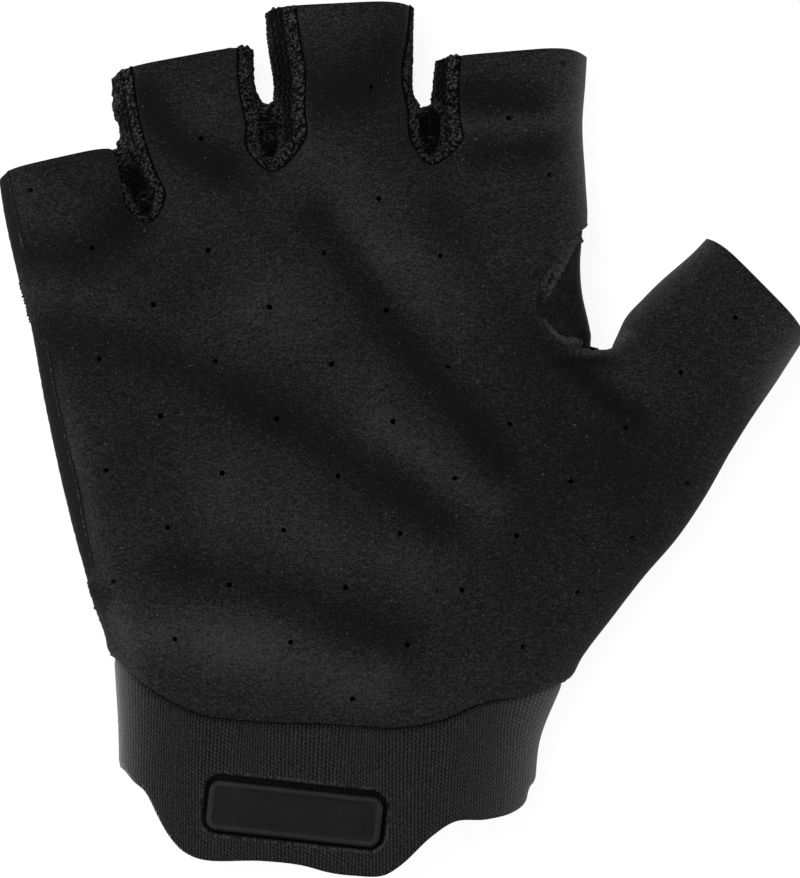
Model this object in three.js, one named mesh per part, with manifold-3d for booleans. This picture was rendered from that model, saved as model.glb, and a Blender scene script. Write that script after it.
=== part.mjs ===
// A fingerless cycling glove for the right hand, lying on the back of the hand with its palm up.
// Lengths are millimetres. X runs from the little finger to the thumb, Y from the cuff to the
// fingers and Z up, out of the palm.
//
// The glove is one soft shell that is sewn from panels. The shell is a closed surface over a plan
// outline: the palm side rises from the outline and the back side drops from it, both by a smooth
// distance from the edges, so each finger becomes a round tube and the palm a broad crown. The
// surface gets a wall thickness, and seams then cut it into the panels of the real glove.

import * as THREE from "three";
import { mergeGeometries, mergeVertices } from "three/addons/utils/BufferGeometryUtils.js";
import Module from "manifold-3d";

const wasm = await Module();
wasm.setup();

// Driving sizes

const palmWidth = 110; // across the knuckles
const palmLength = 110; // from the cuff seam to the crotch beside the middle finger
const palmRise = 12.5; // height of the palm above the side seams
const backDrop = 11; // how far the back would bulge below the side seams
const seamHeight = 10; // side seams above the surface that the glove lies on
const edgeRound = 30; // distance from an edge at which the crown levels out
const wallThickness = 1.5; // suede and knit with their backing
const seamGap = 0.3; // between two panels where they are sewn together
const fingerWidth = 29.8; // of the middle finger's opening, laid out
const fingerLength = 38.2; // of the index finger, from its crotches to its opening
const cornerSetback = 1.4; // how far the sides of a finger opening lie behind its middle

const cuffWidth = 84; // laid flat
const cuffLength = 21; // at the sides, below the seam
const tongueLength = 9; // of the pull tab, beyond the sides of the cuff
const cuffDepthShare = 0.86; // depth of the cuff as a share of the depth of the palm

const thumbLift = 5; // the thumb's opening above where the palm lies
const holeDiameter = 1.1; // ventilation holes in the palm
const holePitch = 15.0; // between neighbouring holes, up to the right
const holeRowPitch = 16.35; // between neighbouring holes, down to the right

const badgeLength = 34;
const badgeWidth = 9.8;
const badgeThickness = 1.5;
const badgeCorner = 2.2;
const badgeMargin = 1.2; // pressed groove around the badge
const badgeRecess = 0.7; // depth of that groove
const badgeTilt = -6.3; // degrees

// Fingers in order from the ulnar side. "length" runs from the middle of the two crotches to the
// opening, as a share of fingerLength, and "width" is a share of fingerWidth. tilt and skew are
// degrees to the right of +Y, of the finger and of a line across its opening.
const fingers = [
  { name: "little", length: 0.458, width: 0.806, tilt: -16.8, skew: -12.8, rows: 3 },
  { name: "ring", length: 0.623, width: 0.98, tilt: -12.2, skew: -10.6, rows: 4 },
  { name: "middle", length: 0.73, width: 1.0, tilt: -4.6, skew: -2.6, rows: 5 },
  { name: "index", length: 1.0, width: 1.0, tilt: -2.0, skew: -4.4, rows: 7 },
  { name: "thumb", length: 0.778, width: 0.879, tilt: 38.0, skew: 45.3, rows: 6 },
];

// How far each side of a finger bulges out of the straight line from its crotch to its opening.
// "along" is the share of that line, "out" a share of the finger's width, "side" -1 for the left.
const sideBulges = {
  little: [
    { side: -1, along: 0.25, out: 0.01 },
    { side: -1, along: 0.6, out: 0.015 },
    { side: 1, along: 0.5, out: 0.01 },
  ],
  ring: [
    { side: -1, along: 0.25, out: 0.034 },
    { side: -1, along: 0.55, out: 0.046 },
    { side: -1, along: 0.8, out: 0.03 },
    { side: 1, along: 0.35, out: 0.018 },
    { side: 1, along: 0.58, out: -0.02 },
    { side: 1, along: 0.8, out: -0.014 },
  ],
  middle: [
    { side: -1, along: 0.24, out: -0.008 },
    { side: -1, along: 0.38, out: -0.034 },
    { side: -1, along: 0.65, out: -0.022 },
    { side: 1, along: 0.2, out: 0.016 },
    { side: 1, along: 0.34, out: -0.062 },
    { side: 1, along: 0.6, out: -0.046 },
    { side: 1, along: 0.85, out: -0.022 },
  ],
  index: [
    { side: -1, along: 0.35, out: 0.018 },
    { side: -1, along: 0.7, out: 0.014 },
    { side: 1, along: 0.09, out: -0.034 },
    { side: 1, along: 0.2, out: -0.074 },
    { side: 1, along: 0.32, out: -0.074 },
    { side: 1, along: 0.42, out: -0.03 },
    { side: 1, along: 0.55, out: -0.034 },
    { side: 1, along: 0.74, out: -0.046 },
    { side: 1, along: 0.88, out: -0.02 },
  ],
  thumb: [
    { side: -1, along: 0.09, out: 0.033 },
    { side: -1, along: 0.22, out: 0.072 },
    { side: -1, along: 0.38, out: 0.066 },
    { side: -1, along: 0.54, out: 0.052 },
    { side: -1, along: 0.82, out: 0.008 },
    { side: 1, along: 0.5, out: -0.004 },
  ],
};

// Ends of the knuckle line and the crotches between the fingers, as shares of palmWidth and
// palmLength from the middle of the cuff seam. "slot" is a crotch's width, a share of fingerWidth.
const knuckleLine = [
  { name: "ulnar_end", x: -0.57, y: 0.762, slot: 0 },
  { name: "little_ring", x: -0.343, y: 0.898, slot: 0.024 },
  { name: "ring_middle", x: -0.124, y: 1.002, slot: 0.024 },
  { name: "middle_index", x: 0.16, y: 1.005, slot: 0.024 },
  { name: "index_thumb", x: 0.468, y: 0.643, slot: 0.134 },
  { name: "radial_end", x: 0.69, y: 0.456, slot: 0 },
];

// Side edges of the palm between the knuckle line and the cuff, as shares of the same sizes.
const ulnarEdge = [
  { x: -0.551, y: 0.691 },
  { x: -0.527, y: 0.558 },
  { x: -0.489, y: 0.381 },
  { x: -0.445, y: 0.218 },
  { x: -0.407, y: 0.106 },
];
const radialEdge = [
  { x: 0.648, y: 0.381 },
  { x: 0.6, y: 0.31 },
  { x: 0.539, y: 0.239 },
  { x: 0.484, y: 0.168 },
  { x: 0.431, y: 0.098 },
];

// Sides of the cuff, x as shares of cuffWidth and y of cuffLength below the seam.
const cuffSides = [
  { y: 0.14, left: -0.52, right: 0.51 },
  { y: -0.25, left: -0.515, right: 0.47 },
  { y: -0.65, left: -0.514, right: 0.458 },
  { y: -1.1, left: -0.508, right: 0.443 },
  { y: -1.75, left: -0.504, right: 0.428 },
];

// Seam between palm and cuff, x as shares of cuffWidth and y of palmLength.
const cuffSeam = [
  { x: -0.6, y: 0.118 },
  { x: -0.528, y: 0.098 },
  { x: -0.44, y: 0.044 },
  { x: -0.325, y: 0.0 },
  { x: -0.2, y: -0.013 },
  { x: 0.0, y: -0.019 },
  { x: 0.14, y: -0.025 },
  { x: 0.24, y: -0.011 },
  { x: 0.325, y: 0.016 },
  { x: 0.44, y: 0.032 },
  { x: 0.515, y: 0.05 },
  { x: 0.6, y: 0.072 },
];

// Lower edge of the palm side of the cuff with its pull tab, x as shares of cuffWidth; "drop" is
// a share of cuffLength, and "tongue" adds a share of tongueLength.
const tongueEdge = [
  { x: -0.62, drop: 0.44, tongue: 0 },
  { x: -0.513, drop: 0.51, tongue: 0 },
  { x: -0.48, drop: 0.64, tongue: 0 },
  { x: -0.453, drop: 0.73, tongue: 0 },
  { x: -0.42, drop: 0.98, tongue: 0 },
  { x: -0.395, drop: 1.0, tongue: 0.34 },
  { x: -0.364, drop: 1.0, tongue: 0.65 },
  { x: -0.316, drop: 1.0, tongue: 0.84 },
  { x: -0.183, drop: 1.0, tongue: 0.86 },
  { x: -0.09, drop: 1.0, tongue: 0.95 },
  { x: -0.019, drop: 1.0, tongue: 1.12 },
  { x: 0.035, drop: 1.0, tongue: 1.18 },
  { x: 0.102, drop: 1.0, tongue: 1.18 },
  { x: 0.146, drop: 1.0, tongue: 0.94 },
  { x: 0.214, drop: 1.0, tongue: 0.35 },
  { x: 0.272, drop: 1.0, tongue: 0.01 },
  { x: 0.341, drop: 0.99, tongue: 0 },
  { x: 0.404, drop: 0.93, tongue: 0 },
  { x: 0.436, drop: 0.84, tongue: 0 },
  { x: 0.455, drop: 0.66, tongue: 0 },
  { x: 0.62, drop: 0.6, tongue: 0 },
];
const backEdgeDrop = { left: 0.5, right: 0.8 }; // lower edge of the back of the cuff, of cuffLength

// Soft folds of the palm: valleys from one point to another. Positions are shares of palmWidth and
// palmLength, "width" of palmWidth and "depth" of palmRise.
const folds = [
  { fromX: -0.03, fromY: 0.87, toX: 0.29, toY: 0.46, width: 0.055, depth: 0.12 },
  { fromX: -0.48, fromY: 0.64, toX: -0.1, toY: 0.51, width: 0.064, depth: 0.09 },
  { fromX: -0.1, fromY: 0.51, toX: 0.25, toY: 0.33, width: 0.064, depth: 0.11 },
  { fromX: -0.2, fromY: 0.27, toX: 0.37, toY: 0.21, width: 0.073, depth: 0.08 },
  { fromX: -0.54, fromY: 0.86, toX: -0.38, toY: 0.83, width: 0.064, depth: 0.08 },
  { fromX: -0.31, fromY: 1.06, toX: -0.2, toY: 0.97, width: 0.055, depth: 0.08 },
  { fromX: 0.23, fromY: 1.09, toX: 0.36, toY: 1.07, width: 0.055, depth: 0.07 },
  { fromX: 0.4, fromY: 0.63, toX: 0.5, toY: 0.53, width: 0.032, depth: 0.11 },
];

// The gusset strips between the fingers, in shares of fingerWidth: how far each seam lies inside
// the finger's edge at the opening and at the crotch, and how far the strip reaches below the crotch.
const gussets = [
  { left: "little", right: "ring", leftStrip: [0.02, 0.107], rightStrip: [0.164, 0.141], below: 0.114 },
  { left: "ring", right: "middle", leftStrip: [0.117, 0.141], rightStrip: [0.225, 0.232], below: 0.164 },
  { left: "middle", right: "index", leftStrip: [0.017, 0.114], rightStrip: [0.178, 0.208], below: 0.128 },
];
const gussetFoot = 4; // height of the seam between a gusset and the back panel

// The smooth web between index finger and thumb: its seam with the suede, from the index side down
// and round to the crotch, as shares of palmWidth and palmLength.
const webSeam = [
  { x: 0.47, y: 0.87 },
  { x: 0.434, y: 0.855 },
  { x: 0.405, y: 0.834 },
  { x: 0.383, y: 0.8 },
  { x: 0.358, y: 0.765 },
  { x: 0.35, y: 0.73 },
  { x: 0.353, y: 0.7 },
  { x: 0.374, y: 0.671 },
  { x: 0.401, y: 0.652 },
  { x: 0.44, y: 0.646 },
  { x: 0.47, y: 0.6445 },
];

// How far the back panel climbs above the side line along the little finger's side, as shares of
// palmRise, with "y" as shares of palmLength. It shows where it climbs, and hides where it drops.
const ulnarRise = [
  { y: 1.2, rise: 0.32 },
  { y: 0.83, rise: 0.34 },
  { y: 0.76, rise: 0.11 },
  { y: 0.7, rise: 0.11 },
  { y: 0.64, rise: 0.34 },
  { y: 0.4, rise: 0.37 },
  { y: 0.27, rise: 0.29 },
  { y: 0.21, rise: 0.06 },
  { y: -0.3, rise: 0.06 },
];
const radialRise = -1; // of the same seam along the thumb's side
const thumbInnerRise = 3.8; // of the terry back of the thumb along its inner side

// Mesh steps
const columnsPerFinger = 6;
const palmRows = 12;

// Plan outline

const share = ({ x, y }) => new THREE.Vector2(x * palmWidth, y * palmLength);
const knuckles = knuckleLine.map(share);
const radians = THREE.MathUtils.degToRad;
const heading = (degrees) => new THREE.Vector2(Math.sin(radians(degrees)), Math.cos(radians(degrees)));
const along = (from, to, t) => from.clone().lerp(to, t);
const smooth = (t) => THREE.MathUtils.smoothstep(t, 0, 1);

// A smooth curve through plan points.
function curveThrough(points) {
  return new THREE.CatmullRomCurve3(
    points.map((p) => new THREE.Vector3(p.x, p.y, 0)),
    false,
    "centripetal",
  );
}

// The side of a finger as a curve from its crotch to its opening.
function sideCurve(finger, side, from, to) {
  const chord = to.clone().sub(from);
  const outward = new THREE.Vector2(chord.y, -chord.x).normalize().multiplyScalar(side);
  const between = sideBulges[finger.name]
    .filter((bulge) => bulge.side === side)
    .map((bulge) => along(from, to, bulge.along).addScaledVector(outward, bulge.out * finger.width));
  return curveThrough([from, ...between, to]);
}

for (const [i, finger] of fingers.entries()) {
  const left = knuckles[i].clone();
  const right = knuckles[i + 1].clone();
  left.x += (knuckleLine[i].slot * fingerWidth) / 2;
  right.x -= (knuckleLine[i + 1].slot * fingerWidth) / 2;
  finger.length *= fingerLength;
  finger.width *= fingerWidth;
  finger.axis = heading(finger.tilt);
  const middle = along(knuckles[i], knuckles[i + 1], 0.5).addScaledVector(finger.axis, finger.length);
  const across = heading(finger.skew + 90).multiplyScalar(finger.width / 2);
  finger.baseLeft = left;
  finger.baseRight = right;
  finger.tip = middle;
  finger.leftSide = sideCurve(finger, -1, left, middle.clone().sub(across));
  finger.rightSide = sideCurve(finger, 1, right, middle.clone().add(across));
}
const byName = Object.fromEntries(fingers.map((finger) => [finger.name, finger]));
const thumb = byName.thumb;

// Sides of palm and cuff, from the end of the cuff up to the knuckle line.
const cuffPoint = (row, side) => new THREE.Vector2(row[side] * cuffWidth, row.y * cuffLength);
const cuffRows = [...cuffSides].reverse();
const leftEdge = curveThrough([
  ...cuffRows.map((row) => cuffPoint(row, "left")),
  ...[...ulnarEdge].reverse().map(share),
  knuckles[0],
]);
const rightEdge = curveThrough([
  ...cuffRows.map((row) => cuffPoint(row, "right")),
  ...[...radialEdge].reverse().map(share),
  knuckles[5],
]);

// Straight pieces of the outline that the crown falls to. They run on past each opening, so that
// the crown keeps its height there.
const runOn = palmWidth / 4;
const outline = [];
function addOutline(curve, steps, lengthenStart, lengthenEnd) {
  const points = curve.getPoints(steps);
  if (lengthenStart) {
    const away = points[0].clone().sub(points[1]).setLength(runOn);
    points.unshift(points[0].clone().add(away));
  }
  if (lengthenEnd) {
    const last = points.length - 1;
    const away = points[last].clone().sub(points[last - 1]).setLength(runOn);
    points.push(points[last].clone().add(away));
  }
  for (let i = 1; i < points.length; i++) outline.push([points[i - 1], points[i]]);
}
addOutline(leftEdge, 24, true, false);
addOutline(rightEdge, 24, true, false);
for (const finger of fingers) {
  addOutline(finger.leftSide, 10, false, true);
  addOutline(finger.rightSide, 10, false, true);
}

// Smooth distance from the outline: equal to the distance near an edge, and rounded off in the
// middle of a finger or the palm. It sums 1/r^3 along each straight piece.
function edgeDistance(x, y) {
  let sum = 0;
  for (const [a, b] of outline) {
    const length = Math.hypot(b.x - a.x, b.y - a.y);
    const ux = (b.x - a.x) / length;
    const uy = (b.y - a.y) / length;
    const start = (a.x - x) * ux + (a.y - y) * uy;
    const off = Math.max(1e-4, Math.abs((a.x - x) * uy - (a.y - y) * ux));
    const end = start + length;
    sum += (end / Math.hypot(off, end) - start / Math.hypot(off, start)) / (off * off);
  }
  return Math.sqrt(2 / sum);
}

// Height of the surface

const crown = (distance) => {
  const level = 1 - Math.min(distance / edgeRound, 1);
  return Math.sqrt(Math.max(0, 1 - level * level));
};

// The side line lies at seamHeight and climbs along the thumb.
function sideLine(x, y) {
  const from = along(thumb.baseLeft, thumb.baseRight, 0.5);
  const t = ((x - from.x) * thumb.axis.x + (y - from.y) * thumb.axis.y) / thumb.length;
  const beside = smooth((x - thumb.baseLeft.x + palmWidth * 0.06) / (palmWidth * 0.12));
  return seamHeight + thumbLift * smooth((t + 0.45) / 1.45) * beside;
}

const depthAt = (y) => THREE.MathUtils.lerp(cuffDepthShare, 1, smooth(y / (palmLength * 0.25) + 0.5));

function foldDepth(x, y) {
  let depth = 0;
  for (const fold of folds) {
    const ax = fold.fromX * palmWidth;
    const ay = fold.fromY * palmLength;
    const bx = fold.toX * palmWidth - ax;
    const by = fold.toY * palmLength - ay;
    const t = THREE.MathUtils.clamp(((x - ax) * bx + (y - ay) * by) / (bx * bx + by * by), 0, 1);
    const off = Math.hypot(x - ax - bx * t, y - ay - by * t);
    depth += fold.depth * palmRise * Math.exp(-((off / (fold.width * palmWidth)) ** 2));
  }
  return depth;
}

function topHeight(x, y) {
  const rise = crown(edgeDistance(x, y));
  return sideLine(x, y) + rise * (palmRise * depthAt(y) - foldDepth(x, y));
}
const topOf = (x, y) => topHeight(x, y);
function backOf(x, y) {
  const drop = crown(edgeDistance(x, y)) * backDrop * depthAt(y);
  return Math.max(0, sideLine(x, y) - drop);
}

// The sheet in plan: one patch for palm and cuff, and one for each finger

const clusterEnds = (t) => (1 - Math.cos(Math.PI * t)) / 2;
const halfCluster = (t) => (t + clusterEnds(t)) / 2;

// Columns of the knuckle line: six for each finger, and one across each crotch.
const knuckleColumns = [];
for (const [i, finger] of fingers.entries()) {
  for (let c = 0; c <= columnsPerFinger; c++) {
    const local = clusterEnds(c / columnsPerFinger);
    knuckleColumns.push({
      share: (i + c / columnsPerFinger) / fingers.length,
      point: along(finger.baseLeft, finger.baseRight, local),
    });
  }
}

const cuffLeftEnd = leftEdge.getPoint(0);
const cuffRightEnd = rightEdge.getPoint(0);
const plan = (v) => new THREE.Vector2(v.x, v.y);

// A point of the palm's patch: t runs from the end of the cuff to the knuckle line.
function palmPoint(column, t) {
  const s = column.share;
  const bottom = along(plan(cuffLeftEnd), plan(cuffRightEnd), halfCluster(s));
  const top = column.point;
  const left = plan(leftEdge.getPointAt(t));
  const right = plan(rightEdge.getPointAt(t));
  const corners = along(
    along(plan(cuffLeftEnd), plan(cuffRightEnd), s),
    along(knuckles[0], knuckles[5], s),
    t,
  );
  return along(bottom, top, t).add(along(left, right, s)).sub(corners);
}

// A point of a finger's patch: t runs from the knuckle line to the opening.
function fingerPoint(finger, c, t) {
  const local = clusterEnds(c / columnsPerFinger);
  const point = along(plan(finger.leftSide.getPointAt(t)), plan(finger.rightSide.getPointAt(t)), local);
  const setback = cornerSetback * Math.abs(2 * local - 1) ** 6 * t ** 3;
  return point.addScaledVector(finger.axis, -setback);
}

// A grid of plan points as a sheet whose height is a function of the plan point. Along the side
// seams the sheets of palm and back meet on the side line.
function gridSheet(columns, rows, pointAt, heightAt, isSeam) {
  const sheet = new THREE.PlaneGeometry(1, 1, columns, rows);
  const position = sheet.attributes.position;
  for (let r = 0; r <= rows; r++)
    for (let c = 0; c <= columns; c++) {
      const p = pointAt(c, r);
      const height = isSeam(c, r) ? sideLine : heightAt;
      position.setXYZ(r * (columns + 1) + c, p.x, p.y, height(p.x, p.y));
    }
  sheet.deleteAttribute("normal");
  sheet.deleteAttribute("uv");
  return sheet;
}

const turnOver = (sheet) => {
  const index = sheet.index.array;
  for (let i = 0; i < index.length; i += 3) [index[i + 1], index[i + 2]] = [index[i + 2], index[i + 1]];
  return sheet;
};

// Rows run from the knuckles down, because a PlaneGeometry's rows run from its top.
const palmRowShare = (r) => 1 - (r / palmRows) ** 1.25;
const perFinger = columnsPerFinger + 1;
function halfGlove(heightAt) {
  const last = knuckleColumns.length - 1;
  const atCrotch = (c) => c % perFinger === 0 || c % perFinger === columnsPerFinger;
  const palmSeam = (c, r) => c === 0 || c === last || (r === 0 && atCrotch(c));
  const palmAt = (c, r) => palmPoint(knuckleColumns[c], palmRowShare(r));
  const sheets = [gridSheet(last, palmRows, palmAt, heightAt, palmSeam)];
  for (const finger of fingers) {
    const fingerAt = (c, r) => fingerPoint(finger, c, 1 - r / finger.rows);
    const fingerSeam = (c) => c === 0 || c === columnsPerFinger;
    sheets.push(gridSheet(columnsPerFinger, finger.rows, fingerAt, heightAt, fingerSeam));
  }
  return sheets;
}

const mergeStep = 1e-3;
const merged = (geometry) => mergeVertices(geometry, mergeStep);

// Gives a sheet a wall: the sheet itself, a copy moved inwards along its normals, and a rim
// wherever the sheet has a free edge.
function thicken(sheet, wall) {
  sheet.computeVertexNormals();
  const position = sheet.attributes.position;
  const normal = sheet.attributes.normal;
  const count = position.count;
  const points = new Float32Array(count * 6);
  for (let i = 0; i < count; i++) {
    const p = [position.getX(i), position.getY(i), position.getZ(i)];
    const n = [normal.getX(i), normal.getY(i), normal.getZ(i)];
    const inner = p.map((value, k) => value - n[k] * wall);
    const onFloor = p[2] < mergeStep;
    if (onFloor) inner[2] = wall;
    points.set(p, i * 3);
    points.set(inner, (count + i) * 3);
  }
  const faces = [];
  const edges = new Map();
  const index = sheet.index.array;
  for (let i = 0; i < index.length; i += 3) {
    const [a, b, c] = [index[i], index[i + 1], index[i + 2]];
    if (a === b || b === c || c === a) continue;
    faces.push(a, b, c, count + c, count + b, count + a);
    for (const [from, to] of [[a, b], [b, c], [c, a]]) {
      const back = to + "_" + from;
      if (edges.has(back)) edges.delete(back);
      else edges.set(from + "_" + to, [from, to]);
    }
  }
  for (const [from, to] of edges.values())
    faces.push(to, from, count + from, to, count + from, count + to);
  return new THREE.BufferGeometry()
    .setAttribute("position", new THREE.BufferAttribute(points, 3))
    .setIndex(faces);
}

// Solids

function solidFrom(geometry) {
  const bare = geometry.clone();
  bare.deleteAttribute("normal");
  bare.deleteAttribute("uv");
  const joined = merged(bare);
  return new wasm.Manifold(
    new wasm.Mesh({
      numProp: 3,
      vertProperties: joined.attributes.position.array,
      triVerts: new Uint32Array(joined.index.array),
    }),
  );
}

// An upright prism over a closed plan outline, from low to high.
const farAbove = 60;
const farBelow = -20;
function prism(points, low = farBelow, high = farAbove) {
  const shape = new THREE.Shape(points.map((p) => new THREE.Vector2(p.x, p.y)));
  const geometry = new THREE.ExtrudeGeometry(shape, { depth: high - low, bevelEnabled: false });
  return solidFrom(geometry.translate(0, 0, low));
}

// A slab over a plan rectangle between two surfaces. turn and centre place the rectangle.
function surfaceSlab({ width, length, columns, rows, centre, turn = 0, lowAt, highAt }) {
  const box = new THREE.BoxGeometry(width, length, 1, columns, rows, 1);
  box.rotateZ(radians(turn)).translate(centre.x, centre.y, 0);
  const position = box.attributes.position;
  for (let i = 0; i < position.count; i++) {
    const x = position.getX(i);
    const y = position.getY(i);
    position.setZ(i, position.getZ(i) > 0 ? highAt(x, y) : lowAt(x, y));
  }
  return solidFrom(box);
}

// Moves a closed or open run of plan points sideways: positive is to the right of its direction.
function shifted(points, distance) {
  return points.map((p, i) => {
    const before = points[Math.max(0, i - 1)];
    const after = points[Math.min(points.length - 1, i + 1)];
    const direction = new THREE.Vector2(after.x - before.x, after.y - before.y).normalize();
    return new THREE.Vector2(p.x + direction.y * distance, p.y - direction.x * distance);
  });
}

// The whole shell

const halves = [...halfGlove(topOf), ...halfGlove(backOf).map(turnOver)];
const shell = solidFrom(thicken(merged(mergeGeometries(halves)), wallThickness));

// Volumes that cut the panels

const reach = 2 * palmWidth;
const seamPoints = cuffSeam.map((row) => new THREE.Vector2(row.x * cuffWidth, row.y * palmLength));
const seamCurve = curveThrough(seamPoints).getPoints(20);
function belowSeam(points) {
  const first = points[0];
  const last = points[points.length - 1];
  return prism([
    { x: -reach, y: first.y },
    { x: -reach, y: -reach },
    { x: reach, y: -reach },
    { x: reach, y: last.y },
    ...[...points].reverse(),
  ]);
}
const cuffSide = belowSeam(seamCurve);
const handCut = belowSeam(shifted(seamCurve, -seamGap));

const tongueCurve = curveThrough(
  tongueEdge.map((row) => ({
    x: row.x * cuffWidth,
    y: -row.drop * cuffLength - row.tongue * tongueLength,
  })),
).getPoints(32);
const backEdge = [
  { x: -cuffWidth, y: -(backEdgeDrop.left - 0.15) * cuffLength },
  { x: -0.5 * cuffWidth, y: -backEdgeDrop.left * cuffLength },
  { x: 0.45 * cuffWidth, y: -backEdgeDrop.right * cuffLength },
  { x: cuffWidth, y: -backEdgeDrop.right * cuffLength },
];
function pastEdge(points, low, high) {
  return prism([{ x: -reach, y: -reach }, { x: reach, y: -reach }, ...[...points].reverse()], low, high);
}

// The strip between two fingers: the plan region inside its seam.
function gussetRegion(gusset, grow) {
  const left = byName[gusset.left];
  const right = byName[gusset.right];
  const steps = [1.25, 1, 0.75, 0.5, 0.25, 0.05];
  const inset = (strip, t) => THREE.MathUtils.lerp(strip[1], strip[0], smooth(t)) * fingerWidth + grow;
  const edgePoint = (finger, curve, t) =>
    plan(curve.getPointAt(Math.min(t, 1))).addScaledVector(finger.axis, Math.max(0, t - 1) * finger.length);
  const inner = new THREE.Vector2(0, 0);
  const points = [];
  for (const t of steps) {
    inner.set(-left.axis.y, left.axis.x).multiplyScalar(inset(gusset.leftStrip, t));
    points.push(edgePoint(left, left.rightSide, t).add(inner));
  }
  const crotch = along(left.baseRight, right.baseLeft, 0.5);
  const down = along(left.axis, right.axis, 0.5).normalize();
  points.push(crotch.addScaledVector(down, -gusset.below * fingerWidth - grow));
  for (const t of [...steps].reverse()) {
    inner.set(right.axis.y, -right.axis.x).multiplyScalar(inset(gusset.rightStrip, t));
    points.push(edgePoint(right, right.leftSide, t).add(inner));
  }
  return curveThrough(points).getPoints(22);
}

const webPoints = webSeam.map(share);
const webRegion = (grow) => shifted(curveThrough(webPoints).getPoints(14), grow);

// The thumb beyond its base line.
const thumbRegion = (grow) => {
  const across = thumb.baseRight.clone().sub(thumb.baseLeft).normalize();
  const aside = thumb.width / 2;
  const start = thumb.baseLeft.clone().addScaledVector(across, -seamGap).addScaledVector(thumb.axis, -grow);
  const end = thumb.baseRight.clone().addScaledVector(across, aside).addScaledVector(thumb.axis, -grow);
  const far = thumb.length + thumb.width;
  return [
    start,
    end,
    end.clone().addScaledVector(thumb.axis, far),
    start.clone().addScaledVector(thumb.axis, far),
  ];
};

// Everything below the seam of the body, and below the seam of the thumb.
function underSeam(heightAt, offset) {
  return surfaceSlab({
    width: reach,
    length: reach,
    columns: 8,
    rows: 22,
    centre: new THREE.Vector2(0, palmLength / 2),
    lowAt: () => farBelow,
    highAt: (x, y) => heightAt(x, y) + offset,
  });
}
function ulnarRiseAt(y) {
  const upper = ulnarRise.findIndex((row) => row.y * palmLength < y);
  if (upper < 1) return ulnarRise.at(upper).rise * palmRise;
  const [above, below] = [ulnarRise[upper - 1], ulnarRise[upper]];
  const t = (y / palmLength - below.y) / (above.y - below.y);
  return THREE.MathUtils.lerp(below.rise, above.rise, smooth(t)) * palmRise;
}
const bodySeam = (x, y) =>
  sideLine(x, y) + THREE.MathUtils.lerp(ulnarRiseAt(y), radialRise, smooth((x / palmWidth + 0.45) / 0.9));
const thumbSeam = (x, y) => {
  const offset = (x - thumb.tip.x) * thumb.axis.y - (y - thumb.tip.y) * thumb.axis.x;
  const across = offset / thumb.width + 0.5;
  return sideLine(x, y) + THREE.MathUtils.lerp(thumbInnerRise, radialRise, smooth(across));
};

// Panels

const hand = shell.subtract(handCut);

const gussetSolids = gussets.map((gusset) =>
  hand.intersect(prism(gussetRegion(gusset, 0), gussetFoot + seamGap)),
);
const webSolid = hand.intersect(prism(webRegion(0), gussetFoot + seamGap));
const thumbWhole = hand.intersect(prism(thumbRegion(0))).intersect(underSeam(thumbSeam, -seamGap));

const cutOut = [
  ...gussets.map((gusset) => prism(gussetRegion(gusset, seamGap), gussetFoot)),
  prism(webRegion(seamGap), gussetFoot),
];
const thumbCut = prism(thumbRegion(seamGap));
const underThumb = thumbCut.intersect(underSeam(thumbSeam, 0));
const underBody = underSeam(bodySeam, 0).subtract(thumbCut);

const without = (solid, cutters) => cutters.reduce((left, cutter) => left.subtract(cutter), solid);
const backPanel = without(
  hand.subtract(thumbCut).intersect(underSeam(bodySeam, -seamGap)),
  cutOut,
);
const palmWhole = without(hand, [...cutOut, underThumb, underBody]);

// Ventilation holes on a slanted grid.
const holeFrom = new THREE.Vector2(-0.328 * palmWidth, 0.7226 * palmLength);
const holeStep = heading(45.1).multiplyScalar(holePitch);
const holeRowStep = heading(132.8).multiplyScalar(holeRowPitch);
// The cloth sits lower on the index finger, so its holes do too.
const indexHoleDrop = 0.05 * palmLength;
const indexHoleShift = 0.036 * palmWidth;
function holePlaces() {
  const places = [];
  const edgeMargin = 5;
  for (let i = -12; i <= 12; i++)
    for (let j = -12; j <= 12; j++) {
      const gridX = holeFrom.x + i * holeStep.x + j * holeRowStep.x;
      const gridY = holeFrom.y + i * holeStep.y + j * holeRowStep.y;
      const onIndex = smooth((gridX / palmWidth - 0.22) / 0.03) * smooth((gridY / palmLength - 0.86) / 0.04);
      const x = gridX + indexHoleShift * onIndex * smooth((gridY / palmLength - 1.02) / 0.06);
      const y = gridY - indexHoleDrop * onIndex;
      const clear = (points) => points.every((p) => Math.hypot(p.x - x, p.y - y) > edgeMargin);
      const inside = edgeDistance(x, y) > edgeMargin * 0.8 && isOnPalm(x, y);
      if (inside && gussetRims.every(clear) && clear(seamCurve)) places.push({ x, y });
    }
  return places;
}
const gussetRims = [...gussets.map((gusset) => gussetRegion(gusset, 0)), webRegion(0)];

// Whether a plan point lies on the palm or thumb, inside the sides and above the cuff seam.
function isOnPalm(x, y) {
  const ring = [
    ...leftEdge.getPoints(20),
    ...fingers.flatMap((finger) => [
      ...finger.leftSide.getPoints(6),
      ...[...finger.rightSide.getPoints(6)].reverse(),
    ]),
    ...[...rightEdge.getPoints(20)].reverse(),
  ];
  const contour = new THREE.Shape(ring.map(plan));
  const inRing = (points) => {
    let odd = false;
    for (let i = 0, j = points.length - 1; i < points.length; j = i++) {
      const [a, b] = [points[i], points[j]];
      if (a.y > y !== b.y > y && x < ((b.x - a.x) * (y - a.y)) / (b.y - a.y) + a.x) odd = !odd;
    }
    return odd;
  };
  const seamAt = seamCurve.reduce((best, p) => (Math.abs(p.x - x) < Math.abs(best.x - x) ? p : best));
  return inRing(contour.getPoints()) && y > seamAt.y;
}

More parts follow.
